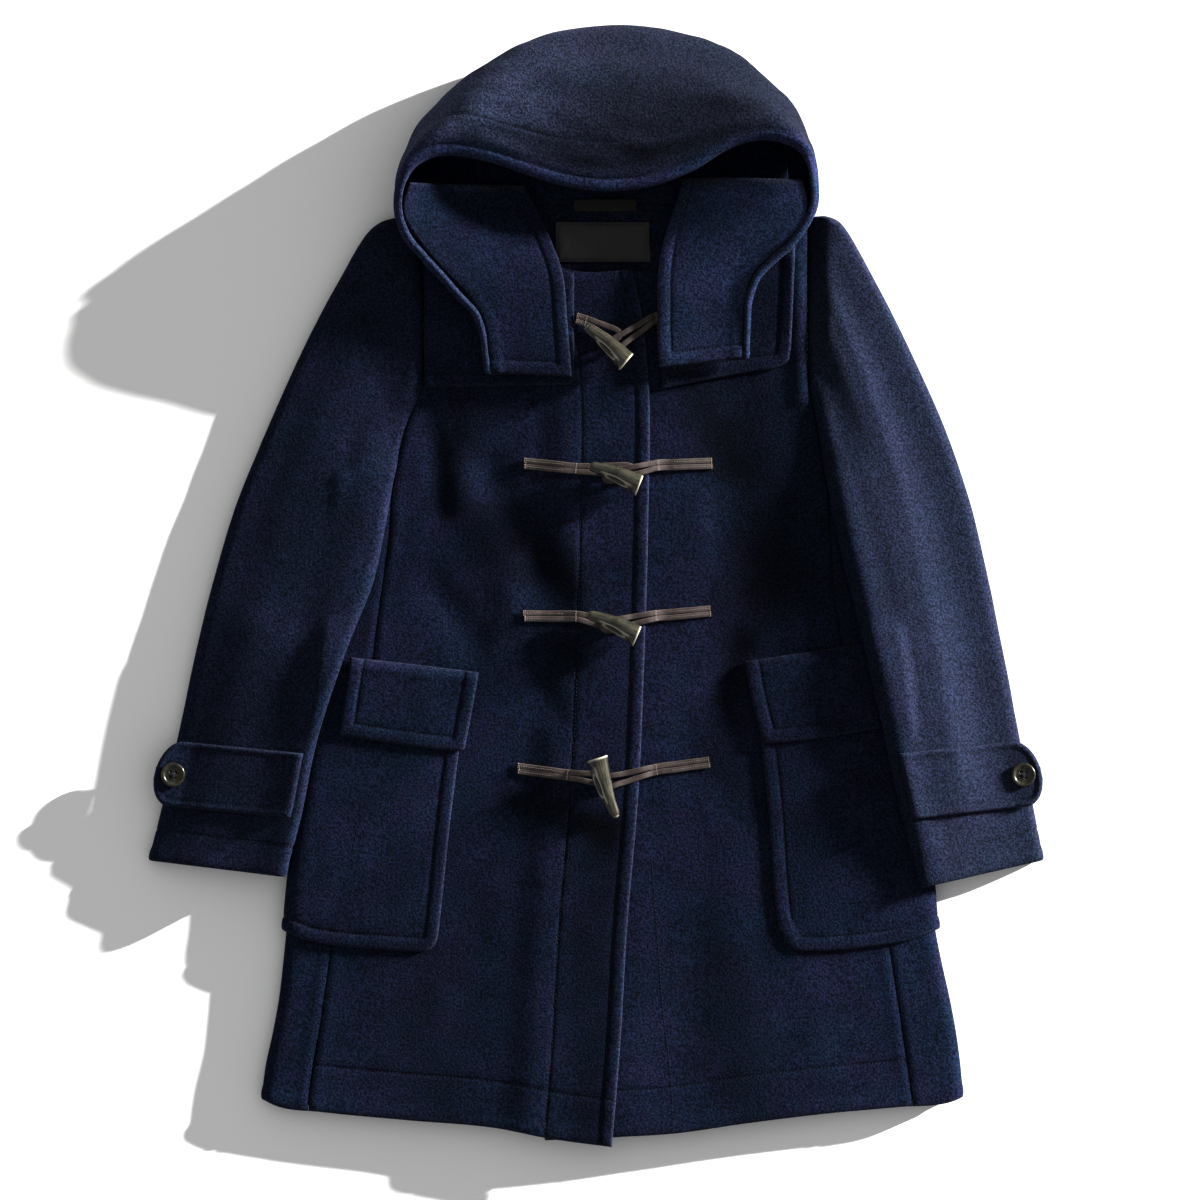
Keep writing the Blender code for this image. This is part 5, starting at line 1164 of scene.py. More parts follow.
def make_hood():
    """Dome with its turned rim, the layer on the floor, and the two sides open like lapels."""
    last = len(HOOD_SECTIONS) - 1
    ends = np.array([0, 0.02, 0.05, 0.1, 0.17, 0.26])
    stations = np.concatenate([ends, np.linspace(0.35, last - 0.35, 250), last - ends[::-1]])
    rim_marks = np.array(edge_marks(RIM_STITCH, HOOD_FACING))
    outer = []
    for station in stations:
        spine = hood_face(station, np.linspace(0, 1, 240))
        travelled = travel(spine)
        total = travelled[-1]
        near = rim_marks * min(1.0, total * 0.45 / rim_marks[-1])
        rest = np.linspace(near[-1], total - 4.0, 32)[1:]
        at = np.concatenate([near, rest, total - np.array([2.4, 1.2, 0.4, 0.0])])
        outer.append(read_line(spine, travelled, at))
    outer = np.array(outer)
    outer[..., 2] = np.maximum(outer[..., 2], 0.0)
    along = np.linspace(0, 1100, len(stations))[:, None]
    reach = travel(outer, 1)
    dome = ease((outer[..., 2] - 14.0) / 12.0) * ease((reach - 6.0) / 20.0)
    lumps = cloth_relief(along + 0 * reach, reach, 91)
    broad, small = wobble(along / 2.6, reach, 26.0, 92), wobble(along / 1.8, reach, 13.0, 95)
    lumps = lumps + dome * (1.5 * broad + 0.7 * small)
    for *stroke, height, spread in HOOD_FOLDS:
        off, share = from_stroke(outer[..., 0], outer[..., 1], *stroke)
        ends = ease(share / 0.35) * ease((1 - share) / 0.35)
        lumps = lumps + dome * ends * height * np.exp(-(off / spread)**2)
    lumps = np.maximum(lumps, -1.6)
    low = outer[..., 2] < 12.0
    # painted light and shade: the dome is painted paler on its left, which faces away from the light, a
    # little darker on its right, which faces it, and paler along the rim as a painted highlight
    tone = dome * (1.5 * ease((40 - outer[..., 0]) / 150.0) - 0.3 * ease((outer[..., 0] - 60) / 80.0))
    tone = tone + 1.0 * np.exp(-(reach / 18.0)**2)
    lumps = lumps - 0.4 * np.exp(-((reach - HOOD_FACING) / 1.7)**2)
    edges = {"left": ("turned", (RIM_STITCH,)), "right": SEWN, "top": SEWN, "bottom": SEWN}
    shell("hood_crown", outer, edges, relief=np.where(low, 0.0, lumps), seed=93,
          floor=True, nap=0.5 * dome, tone=tone, swell=2.2)
    make_hood_back()
    make_lapels()


def make_hood_back():
    """The hood's layer on the floor, between the dome's end and the neck seam."""
    first, last = HOOD_BACK_SECTIONS
    stations = np.linspace(first, last, 90)
    starts = []
    for station in stations:
        side, end = hood_station(station)[2:, :2]
        starts.append(end + (end - side) / np.linalg.norm(end - side) * CLOSED)
    starts = np.array(starts)
    x_low = np.linspace(NECK_SEAM[0][0], NECK_SEAM[-1][0], len(starts))
    at_neck = ease((NECK_HALF - np.abs(x_low - 17)) / 20.0)
    ends = np.stack([x_low, mix(curve(NECK_SEAM, x_low), curve(BACK_TOP, x_low) + CLOSED, at_neck)], axis=-1)
    fall = places(marks(SEWN_MARKS, SEWN_MARKS, 100, 5.0), np.array([100.0]), down=True) / 100.0
    plan = starts[None] + (ends - starts)[None] * fall[:, :, None]
    outer = points(plan[..., 0], plan[..., 1], 0.0)
    shell("hood_back", outer, {edge: SEWN for edge in ("left", "right", "top", "bottom")},
          facing=(0, 0, -1), relief=0 * plan[..., 0], seed=97, floor=True)


def make_lapels():
    """The hood's two sides below the face opening, open like lapels over the yokes."""
    for word, table, free in (("left", LAPEL_LEFT, "right"), ("right", LAPEL_RIGHT, "left")):
        ends = curve(table, np.linspace(0, 1, 400))
        length = np.linalg.norm(np.diff(ends[:, :3], axis=0), axis=1).sum()
        rows = marks(NOSE_MARKS, edge_marks(TOPSTITCH), length)
        down = places(rows, np.array([length]), down=True)[:, 0] / length
        ends = curve(table, down)
        first, second = ends[:, None, :3], ends[:, None, 3:]
        tuck = unit((second - first) * [1, 1, 0]) * TUCK - [0, 0, 2.0]
        first, second = (first - tuck * [1, 1, -1], second) if free == "right" else (first, second + tuck)
        width = np.linalg.norm(second - first, axis=2)
        free_marks, other = edge_marks(TOPSTITCH), list(NOSE_MARKS)
        columns = marks(other, free_marks, 110) if free == "right" else marks(free_marks, other, 110)
        share = (places(columns, width) / width)[..., None]
        across = share[..., 0]
        hang = np.sin(math.pi * across) * LAPEL_HANG
        bulge = across - 1 + (1 - across)**LAPEL_BULGE
        sag = (hang if word == "left" else bulge) * np.abs(first - second)[..., 2]
        outer = mix(first, second, share) - points(0 * sag, 0 * sag, sag)
        edges = {"top": TURNED, "bottom": STITCHED, "left": TURNED, "right": TURNED}
        edges[free] = STITCHED
        from_top = np.linalg.norm(outer - outer[:1], axis=2)
        fuzz = np.exp(-(from_top / 5.5)**2) * ease(0.7 + 0.8 * wobble(outer[..., 0], outer[..., 1], 9.0, 5))
        # painted light: the right lapel is painted paler by LAPEL_LIGHT and LAPEL_NAP_LIGHT
        shell("hood_lapel_" + word, outer, edges, seed=101 + len(word),
              nap=LAPEL_NAP_LIGHT[word], rub_and_light=2.4 * fuzz,
              tone=LAPEL_LIGHT[word] * ease((from_top + 10) / 30.0) * (1 + ease((outer[..., 1] - 240) / 60.0)))


# ---------------------------------------------------------------- toggles and leather
def placket_height(x, y):
    """Outer face of whatever the toggles lie on."""
    on_upper = np.asarray(x) < free_edge_x(y) + 2
    return np.where(on_upper, upper_height(x, y), mix(upper_height(x, y), front_height(x, y),
                    ease((x - free_edge_x(y) - 2) / 14.0)))


def make_toggles():
    """Horn toggles: tapered and slightly bowed, with a dished cut end and, low on one side, an
    oval recess with the two holes for the leather."""
    sides, rings = 72, 90
    angle = 2 * math.pi * np.arange(sides) / sides
    for number, (tip_x, tip_y, end_x, end_y) in enumerate(TOGGLES, start=1):
        tip, end = np.array([tip_x, tip_y], float), np.array([end_x, end_y], float)
        length = np.linalg.norm(end - tip)
        direction = (end - tip) / length
        beside = np.array([-direction[1], direction[0]])
        level = max(float(placket_height(*mix(tip, end, share))) for share in (0, 0.25, 0.5, 0.75, 1))
        level += (YOKE_RISE if number == 1 else 0.0) + LEATHER_STACK
        rounding = np.linspace(0, 1, 12)
        tip_shares = TOGGLE_ROUND * (1 - np.cos(rounding * math.pi / 2))
        shares = np.concatenate([tip_shares, np.linspace(0.1, TOGGLE_CUT, rings)])
        flank = -1.0 if number < 4 else 1.0
        loops, pale, hole_and_shade = [], [], []
        for share in shares:
            taper = mix(TOGGLE_TIP_R, TOGGLE_END_R, share**0.9)
            radius = taper * math.sqrt(max(0.0, 1 - (1 - min(share / TOGGLE_ROUND, 1.0))**2))
            centre = mix(tip, end, share) + beside * TOGGLE_BOW * math.sin(math.pi * share)
            height = level + taper * TOGGLE_FLAT
            off = np.angle(np.exp(1j * (angle - math.radians(90 - flank * RECESS_TURN))))
            cut = np.full(sides, radius)
            facing = np.cos(off)
            plane = np.where(facing > 0.3, TOGGLE_LEVEL * radius / np.maximum(facing, 0.3), 1e3)
            strength = float(ease((share - 0.2) / 0.12) * ease((0.93 - share) / 0.08))
            cut = mix(cut, np.minimum(cut, plane), strength)
            oval = np.hypot((share - RECESS_AT) * length / RECESS_HALF[0], off * radius / RECESS_HALF[1])
            cut = cut - RECESS_DEPTH * ease((1.0 - oval) / 0.35)
            drilled = np.zeros(sides)
            for at in TOGGLE_HOLES:
                bore = np.hypot((share - at) * length, off * radius)
                drilled = np.maximum(drilled, ease((TOGGLE_HOLE_R - bore) / 0.7))
            cut = cut - TOGGLE_HOLE_DEEP * drilled
            x = centre[0] + beside[0] * cut * np.cos(angle)
            y = centre[1] + beside[1] * cut * np.cos(angle)
            loops.append(points(x, y, height + cut * TOGGLE_FLAT * np.sin(angle)))
            rim = ease((share - 0.955) / 0.03)
            inner_part = float(ease((share - 0.22) / 0.1) * ease((0.9 - share) / 0.1))
            # painted highlight: a pale streak along the recess's upper border
            gleam = 1.33 * np.exp(-((off * flank - 0.5) / 0.13)**2) * inner_part
            edge = 0.8 * np.exp(-((oval - 1.0) / 0.12)**2) * (oval > 0.6) + 0.55 * (share < 0.04) + gleam
            pale.append(np.clip(edge + rim, 0, 1))
            # painted shade in the holes and, fainter, in the recess
            hole_and_shade.append(np.maximum(drilled, 0.6 * ease((0.92 - oval) / 0.25)))
        last = loops[-1]
        middle = last.mean(axis=0)
        along3 = np.array([*direction, 0.0])
        for inward, deep, shade in DISH:
            loops.append(middle + (last - middle) * inward - along3 * deep)
            pale.append(np.full(sides, shade))
            hole_and_shade.append(np.zeros(sides))
        vertices, faces = round_mesh(loops[0].mean(axis=0), np.array(loops), middle - along3 * DISH_DEPTH)
        along_uv = np.repeat(np.arange(len(loops)), sides) * length / len(loops)
        around_uv = np.tile(np.abs(angle - math.pi) * TOGGLE_END_R, len(loops))
        uv = np.concatenate([[[0, 0]], np.stack([along_uv, around_uv], axis=-1), [[length, 0]]])
        values = {"pale": np.concatenate([[0.4], np.concatenate(pale), [0]]),
                  "hole_and_shade": np.concatenate([[0], np.concatenate(hole_and_shade), [0]])}
        name = "toggle_%d" % number
        make_object(name, vertices, faces, "horn", [name], uv, values)


def loop_path(outer, knee, far, height):
    """Both legs of a folded strip: side by side to the knee, then open round the far end."""
    outer, knee, far = (np.array(place, float) for place in (outer, knee, far))
    first = (knee - outer) / np.linalg.norm(knee - outer)
    second = (far - knee) / np.linalg.norm(far - knee)
    leg = []
    for share in (0.0, 0.3, 0.65, 1.0):
        leg.append((mix(outer, knee, share), first, LEG_APART / 2))
    for share in (0.35, 0.7, 1.0):
        leg.append((mix(knee, far, share), second, mix(LEG_APART, LOOP_WIDE, ease(share)) / 2))
    beside = np.array([[-h[1], h[0]] for _, h, _ in leg])
    one = [place + b * half for (place, _, half), b in zip(leg, beside)]
    other = [place - b * half for (place, _, half), b in zip(leg, beside)]
    turn = [far + (LOOP_WIDE / 2) * (second * math.sin(a) + beside[-1] * math.cos(a))
            for a in (math.pi * k / 5 for k in range(1, 5))]
    plan = np.array(one + turn + other[::-1])
    key = travel(plan)
    smooth = curve(np.column_stack([key, plan]), np.arange(0, key[-1], 0.9))
    heights = np.array([height(x, y) for x, y in smooth])
    heights = np.convolve(np.pad(heights, 4, mode="edge"), np.ones(9) / 9, mode="valid")
    return np.column_stack([smooth, heights])


def ribbon(path, width, thick, wave=0.0, seed=1):
    """Rings of a flat strip with rounded edges along a path."""
    corner = 0.42 * thick
    outline = []
    for cx, cz, start in ((1, 1, 0), (-1, 1, 90), (-1, -1, 180), (1, -1, 270)):
        for turn in (0, 30, 60, 90):
            a = math.radians(start + turn)
            outline.append((cx * (width / 2 - corner) + corner * math.cos(a),
                            cz * (thick / 2 - corner) + corner * math.sin(a)))
    outline = np.array(outline)
    heading = unit(np.gradient(path, axis=0))
    beside = unit(np.cross([0, 0, 1.0], heading))
    up = np.cross(heading, beside)
    travelled = travel(path)
    sway = wave * wobble(travelled, 0 * travelled, 9.0, seed)
    rings = (path[:, None] + beside[:, None] * (outline[None, :, :1] + sway[:, None, None])
             + up[:, None] * outline[None, :, 1:])
    edge = np.tile((np.abs(outline[:, 0]) > width / 2 - 0.25).astype(float), (len(path), 1))
    return rings, travelled, edge


def make_strip(name, path, width, thick, material="leather", slot="leather", replaces=(), wave=0.0, seed=1,
               extra=(), knee=None):
    """A strip of leather, or several in one piece, closed at both ends."""
    vertices, faces, uv, edges, lines = [], [], [], [], []
    start = 0
    for line, wide, deep in [(path, width, thick)] + list(extra):
        rings, travelled, edge = ribbon(np.array(line), wide, deep, wave, seed)
        number, sides = rings.shape[:2]
        index = start + np.arange(number * sides).reshape(number, sides)
        part = grid_faces(number, sides, index, wrap=True)
        faces += part.tolist()
        faces.append(tuple(index[0].tolist()))
        faces.append(tuple(index[-1, ::-1].tolist()))
        vertices.append(rings.reshape(-1, 3))
        across = np.linspace(0, 2 * (wide + deep), sides)
        uv.append(np.stack([np.repeat(travelled, sides), np.tile(across, number)], axis=-1))
        edge[:2] = 1.0
        edge[-2:] = 1.0
        line = np.zeros(rings.shape[:2])
        if knee is not None:
            past = (rings[..., 0] - knee[0]) * knee[2] + (rings[..., 1] - knee[1]) * knee[3]
            edge = np.maximum(edge, 0.8 * np.exp(-((past + 1.1) / 0.75)**2))
            # painted shade in the crease just past the knee
            line = np.exp(-((past - 0.4) / 0.6)**2)
        lines.append(line.ravel())
        edges.append(edge.ravel())
        start += number * sides
    vertices = np.concatenate(vertices)
    faces = outward(vertices, faces)
    return make_object(name, vertices, faces, material, replaces, np.concatenate(uv),
                       {"wear_and_light": np.concatenate(edges), "crease_shade": np.concatenate(lines)})


def make_leather():
    """Narrow leather strips folded in two: the left ones carry a toggle, the right ones go
    over the left ones and round it. Both are stitched down along each leg."""
    for number, (left, right) in enumerate(zip(STRAPS_LEFT, STRAPS_RIGHT), start=1):
        rise = (YOKE_RISE if number == 1 else 0.0) + STRIP_AIR + LEATHER / 2

        def low(x, y, rise=rise):
            return float(placket_height(x, y)) + rise

        def high(x, y, rise=rise, far=left[4]):
            over = float(ease(1 - (x - far - LOOP_WIDE) / CROSS_RAMP))
            return float(placket_height(x, y)) + rise + CROSS_RISE * over

        for word, row, height in (("left", left, low), ("right", right, high)):
            name = "strap_%s_%d" % (word, number)
            path = loop_path(row[:2], row[2:4], row[4:], height)
            outer, knee = np.array(row[:2], float), np.array(row[2:4], float)
            way = (knee - outer) / np.linalg.norm(knee - outer)
            item = make_strip(name, path, LEG_W + 0.3, LEATHER, replaces=[name], wave=0.18,
                              seed=7 * number + len(word), knee=(*knee, *way))
            beside = np.array([-way[1], way[0]])
            reach = np.linalg.norm(knee - outer)
            for leg in (-1, 1):
                line = [outer + way * at + beside * leg * LEG_APART / 2
                        for at in np.linspace(2.0, reach * 0.72, 12)]
                line = np.array([(x, y, height(x, y) + LEATHER / 2) for x, y in line])
                add_stitches(item, line, 2.3, LEATHER_STITCHES)
            for at in (1.6, reach - 1.5):
                ends = [outer + way * at + beside * s * (LEG_APART / 2 + LEG_W * 0.42) for s in (-1, 1)]
                line = np.array([(*mix(ends[0], ends[1], share), height(*ends[0]) + LEATHER / 2)
                                 for share in np.linspace(0, 1, 8)])
                add_stitches(item, line, 2.0, LEATHER_STITCHES)


# ---------------------------------------------------------------- label and hanger
def make_neck_parts():
    """Blank woven label with turned edges, and a bowed loop of tape above it."""
    x0, y0, x1, y1 = LABEL
    columns, rows = (marks(LABEL_MARKS, LABEL_MARKS, size, 1.6) for size in (x1 - x0, y1 - y0))
    x = x0 + places(columns, np.array([[x1 - x0]])) + 0 * rows[0][:, None]
    y = y1 - places(rows, np.array([[y1 - y0]]), down=True) + 0 * x
    z = WALL + TRIM_AIR + LABEL_THICK + 0 * x
    edge = np.minimum(np.minimum(x - x0, x1 - x), np.minimum(y - y0, y1 - y))
    wave = 0.35 * (wobble(x, y, 16.0, 3) + 1) * ease(edge / 6.0) - 0.3 * np.exp(-((edge - 1.6) / 0.7)**2)
    edges = {side: TURNED for side in ("top", "right", "bottom", "left")}
    shell("neck_label", points(x, y, z), edges, material="label", wall=LABEL_THICK,
          relief=0 * x, rise=wave, swell=0.4)
    x0, y0, x1, y1 = HANGER
    share = np.linspace(0, 1, 60)
    height = WALL + TRIM_AIR + HANGER_THICK / 2 + HANGER_RISE * np.sin(math.pi * share)
    path = points(mix(x0, x1, share), (y0 + y1) / 2 + 0 * share, height)
    make_strip("hanger_loop", path, y1 - y0, HANGER_THICK, "tape", "tape", ["hanger_loop"])


# ---------------------------------------------------------------- stitches and threads
def stitch_tree():
    """Geometry Nodes: a short thread on every point, turned by its heading and its facing."""
    tree = bpy.data.node_groups.new("stitches", "GeometryNodeTree")
    face = tree.interface
    face.new_socket("Geometry", in_out="INPUT", socket_type="NodeSocketGeometry")
    for label, default in (("Length", 0.0024), ("Thickness", 0.0004)):
        socket = face.new_socket(label, in_out="INPUT", socket_type="NodeSocketFloat")
        socket.default_value = default
    face.new_socket("Material", in_out="INPUT", socket_type="NodeSocketMaterial")
    face.new_socket("Geometry", in_out="OUTPUT", socket_type="NodeSocketGeometry")
    new = tree.nodes.new
    entry, leave = new("NodeGroupInput"), new("NodeGroupOutput")
    ball = new("GeometryNodeMeshUVSphere")
    for key, value in (("Segments", 6), ("Rings", 5), ("Radius", 1.0)):
        ball.inputs[key].default_value = value
    size = new("ShaderNodeCombineXYZ")
    for label, axes in (("Length", "X"), ("Thickness", "YZ")):
        half = new("ShaderNodeMath")
        half.operation = "MULTIPLY"
        half.inputs[1].default_value = 0.5
        tree.links.new(entry.outputs[label], half.inputs[0])
        for axis in axes:
            tree.links.new(half.outputs[0], size.inputs[axis])
    turns = []
    for key, axis in (("heading", "X"), ("facing", "Z")):
        read = new("GeometryNodeInputNamedAttribute")
        read.data_type = "FLOAT_VECTOR"
        read.inputs["Name"].default_value = key
        turn = new("FunctionNodeAlignRotationToVector")
        turn.axis = axis
        tree.links.new(read.outputs["Attribute"], turn.inputs["Vector"])
        turns.append(turn)
    turns[1].pivot_axis = "X"
    shape, spots = new("GeometryNodeTransform"), new("GeometryNodeMeshToPoints")
    copy, real = new("GeometryNodeInstanceOnPoints"), new("GeometryNodeRealizeInstances")
    paint = new("GeometryNodeSetMaterial")
    for first, output, second, key in (
            (ball, "Mesh", shape, "Geometry"), (size, "Vector", shape, "Scale"),
            (turns[0], "Rotation", turns[1], "Rotation"), (turns[1], "Rotation", copy, "Rotation"),
            (entry, "Geometry", spots, "Mesh"), (spots, "Points", copy, "Points"),
            (shape, "Geometry", copy, "Instance"), (copy, "Instances", real, "Geometry"),
            (real, "Geometry", paint, "Geometry"), (entry, "Material", paint, "Material"),
            (paint, "Geometry", leave, "Geometry")):
        tree.links.new(first.outputs[output], second.inputs[key])
    return tree


def applied(name, source, tree, inputs):
    """The mesh that a Geometry Nodes tree makes from a source mesh, as a piece of its own."""
    base = bpy.data.objects.new(name + "_base", source)
    bpy.context.scene.collection.objects.link(base)
    modifier = base.modifiers.new("nodes", "NODES")
    modifier.node_group = tree
    ids = {item.name: item.identifier for item in tree.interface.items_tree
           if item.item_type == "SOCKET" and item.in_out == "INPUT"}
    for label, value in inputs.items():
        modifier[ids[label]] = value
    depsgraph = bpy.context.evaluated_depsgraph_get()
    mesh = bpy.data.meshes.new_from_object(base.evaluated_get(depsgraph))
    mesh.name = name
    mesh.shade_smooth()
    item = bpy.data.objects.new(name, mesh)
    bpy.context.scene.collection.objects.link(item)
    bpy.data.objects.remove(base, do_unlink=True)
    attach(item, "root")
    return item


def make_stitches():
    """One mesh for all stitches in the cloth, one for those in the leather, and the button threads."""
    cloth = bpy.context.scene.coat_cloth
    tree = stitch_tree()
    for name, rows, length, thick, material, slot in (
            ("seam_stitches", STITCHES, cloth.stitch_length, cloth.thread, "thread", "wool"),
            ("leather_stitches", LEATHER_STITCHES, 0.0017, 0.0005, "leather_thread", "leather")):
        data = np.array(rows, float)
        source = bpy.data.meshes.new(name + "_points")
        lifted = data[:, :3] + data[:, 6:9] * 0.1
        source.from_pydata((lifted * MM).tolist(), [], [])
        for key, first in (("heading", 3), ("facing", 6)):
            attribute = source.attributes.new(key, "FLOAT_VECTOR", "POINT")
            attribute.data.foreach_set("vector", data[:, first:first + 3].ravel())
        applied(name, source, tree, {"Length": length, "Thickness": thick,
                                     "Material": FINISHES[material]})
    extra = [(path, *BUTTON_THREAD) for path in THREADS[1:]]
    make_strip("button_threads", THREADS[0], *BUTTON_THREAD, "thread", "button", extra=extra)


# ---------------------------------------------------------------- materials
class Nodes:
    """A material's node tree, built with short calls."""

    def __init__(self, name, roughness, specular=0.5):
        self.material = bpy.data.materials.new(name + "_finish")
        FINISHES[name] = self.material
        self.material.use_nodes = True
        self.tree = self.material.node_tree
        self.shader = self.tree.nodes["Principled BSDF"]
        self.shader.inputs["Roughness"].default_value = roughness
        self.shader.inputs["Specular IOR Level"].default_value = specular

    def fill(self, node, key, value):
        """Link a socket to a node's input, or set the input to a value."""
        if isinstance(value, bpy.types.NodeSocket):
            self.tree.links.new(value, node.inputs[key])
        else:
            node.inputs[key].default_value = value

    def add(self, kind, settings=None, **inputs):
        """First output of a new node; i0 and i1 stand for inputs that share a name."""
        node = self.tree.nodes.new("ShaderNode" + kind)
        for key, value in (settings or {}).items():
            setattr(node, key, value)
        for key, value in inputs.items():
            self.fill(node, int(key[1:]) if key in ("i0", "i1") else key.replace("_", " "), value)
        return node.outputs[0]

    def math(self, operation, first, second=0.0):
        return self.add("Math", {"operation": operation}, i0=first, i1=second)

    def times(self, first, second):
        return self.math("MULTIPLY", first, second)

    def grey(self, value):
        return self.add("CombineColor", None, Red=value, Green=value, Blue=value)

    def noise(self, place, scale, detail=2.0, roughness=0.55):
        return self.add("TexNoise", None, Vector=place, Scale=scale, Detail=detail, Roughness=roughness)

    def spread(self, value, low, high, to_low=0.0, to_high=1.0):
        return self.add("MapRange", {"interpolation_type": "SMOOTHSTEP"}, Value=value, From_Min=low,
                        From_Max=high, To_Min=to_low, To_Max=to_high)

    def blend(self, factor, first, second, how="MIX"):
        node = self.tree.nodes.new("ShaderNodeMix")
        node.data_type = "RGBA"
        node.blend_type = how
        for key, value in ((0, factor), (6, first), (7, second)):
            self.fill(node, key, value)
        return node.outputs[2]

    def tint(self, colour, other):
        return self.blend(1.0, colour, other, "MULTIPLY")

    def attribute(self, name):
        node = self.tree.nodes.new("ShaderNodeAttribute")
        node.attribute_name = name
        return node.outputs["Fac"]

    def place(self, output="Object"):
        return self.tree.nodes.new("ShaderNodeTexCoord").outputs[output]

    def colour(self, socket):
        self.tree.links.new(socket, self.shader.inputs["Base Color"])

    def bump(self, height, distance, strength=1.0):
        node = self.tree.nodes.new("ShaderNodeBump")
        node.inputs["Distance"].default_value = distance
        node.inputs["Strength"].default_value = strength
        self.tree.links.new(height, node.inputs["Height"])
        self.tree.links.new(node.outputs["Normal"], self.shader.inputs["Normal"])


def rgba(colour, factor=1.0):
    return (colour[0] * factor, colour[1] * factor, colour[2] * factor, 1.0)


def make_wool():
    """Felted wool: clumps of short hair, paler where the nap stands up or is rubbed, with painted light and
    shade from its tone and wear_and_light attributes and painted shade in its grooves.
    """
    cloth = bpy.context.scene.coat_cloth
    wool = Nodes("wool", 0.95, 0.06)
    place = wool.place()
    clump = wool.noise(place, 1.0 / cloth.grain, 2.0, 0.6)
    hair = wool.noise(place, 3.4 / cloth.grain, 2.0, 0.6)
    patchy = wool.noise(place, 34.0, 3.0, 0.55)
    broad = wool.noise(place, 9.0, 2.0, 0.5)
    grain = wool.math("ADD", wool.times(clump, 0.62), wool.times(hair, 0.38))
    tone = wool.spread(grain, 0.39, 0.63)
    colour = wool.blend(tone, rgba(cloth.wool, 0.42), rgba(cloth.wool, 1.75))
    patches = wool.spread(patchy, 0.3, 0.7, 0.86, 1.1)
    shade = wool.math("ADD", patches, wool.spread(broad, 0.3, 0.7, -0.06, 0.06))
    colour = wool.tint(colour, wool.grey(shade))
    drift = wool.spread(wool.noise(place, 23.0, 3.0, 0.6), 0.35, 0.65)
    colour = wool.tint(colour, wool.blend(drift, (0.84, 1.05, 0.98, 1), (1.2, 0.96, 1.02, 1)))
    # painted light and shade: the colour is scaled by 1 + tone
    painted_light_factor = wool.grey(wool.math("ADD", wool.attribute("tone"), 1.0))
    colour = wool.tint(colour, painted_light_factor)
    # worn edges and painted light, both paled towards the rubbed_and_lit colour
    wear_and_light_mix = wool.times(wool.attribute("wear_and_light"), 0.5)
    colour = wool.blend(wear_and_light_mix, colour, wool.blend(tone, rgba(cloth.rubbed_and_lit, 0.36), rgba(cloth.rubbed_and_lit)))
    # painted shade in the stitch grooves and seams
    groove_shade = wool.times(wool.attribute("crease_shade"), 0.25)
    colour = wool.blend(groove_shade, colour, rgba(cloth.wool, 0.35))
    stood = wool.tint(wool.blend(tone, rgba(cloth.nap, 0.15), rgba(cloth.nap, 0.42)), painted_light_factor)
    colour = wool.blend(wool.attribute("nap"), colour, stood)
    lint = wool.spread(wool.noise(place, 640.0, 1.0, 0.5), 0.765, 0.8, 0.0, 0.5)
    colour = wool.blend(lint, colour, rgba(cloth.nap))
    wool.colour(colour)
    wool.shader.inputs["Sheen Weight"].default_value = cloth.sheen
    wool.shader.inputs["Sheen Roughness"].default_value = 0.45
    wool.shader.inputs["Sheen Tint"].default_value = rgba(cloth.sheen_colour)
    fine = wool.noise(place, 8.0 / cloth.grain, 1.0, 0.5)
    relief = wool.math("ADD", wool.times(clump, 0.7), wool.times(hair, 0.32))
    relief = wool.math("ADD", relief, wool.times(fine, 0.1))
    wool.bump(relief, cloth.grain_depth, 1.0)


def make_leather_material():
    """Dark hide with a fine grain, paler at its cut edges and painted dark as shade in its creases."""
    trim = bpy.context.scene.coat_trim
    hide = Nodes("leather", 0.6, 0.3)
    place = hide.place()
    grain = hide.noise(place, 900.0, 3.0, 0.6)
    cloud = hide.noise(place, 120.0, 2.0, 0.6)
    colour = hide.blend(hide.spread(cloud, 0.3, 0.7), rgba(trim.leather, 0.72), rgba(trim.leather, 1.3))
    colour = hide.blend(hide.spread(grain, 0.55, 0.72, 0.0, 0.35), colour, rgba(trim.leather, 2.2))
    # painted shade in the creases
    crease_shade = hide.times(hide.attribute("crease_shade"), 0.85)
    colour = hide.blend(crease_shade, colour, rgba(trim.leather, 0.2))
    edge = hide.times(hide.attribute("wear_and_light"), 0.8)
    colour = hide.blend(edge, colour, rgba(trim.leather_edge))
    hide.colour(colour)
    hide.bump(grain, 0.00025, 0.6)


def make_horn():
    """Polished horn with streaks along it, pale at its cut rims, with a painted highlight along its recess
    and painted shade in its holes and recess.
    """
    trim = bpy.context.scene.coat_trim
    horn = Nodes("horn", 0.26, 0.5)
    place = horn.place("UV")
    stretched = horn.add("Mapping", None, Vector=place, Scale=(55.0, 900.0, 1.0))
    streak = horn.add("TexNoise", None, Vector=stretched, Scale=1.0, Detail=3.0, Roughness=0.6)
    cloud = horn.noise(horn.place(), 90.0, 2.0, 0.55)
    colour = horn.blend(horn.spread(streak, 0.4, 0.62), rgba(trim.horn, 0.4), rgba(trim.horn, 2.3))
    colour = horn.blend(horn.spread(cloud, 0.42, 0.7, 0.0, 0.5), colour, rgba(trim.horn, 2.6))
    # pale rims and the painted highlight streak take the horn_rim_and_highlight colour
    colour = horn.blend(horn.times(horn.attribute("pale"), 0.75), colour, rgba(trim.horn_rim_and_highlight))
    # painted shade in the holes and the recess
    colour = horn.blend(horn.attribute("hole_and_shade"), colour, rgba((0.004, 0.003, 0.003)))
    horn.colour(colour)
    horn.shader.inputs["Coat Weight"].default_value = 0.35
    horn.shader.inputs["Coat Roughness"].default_value = 0.12
    horn.bump(streak, 0.0002, 0.35)


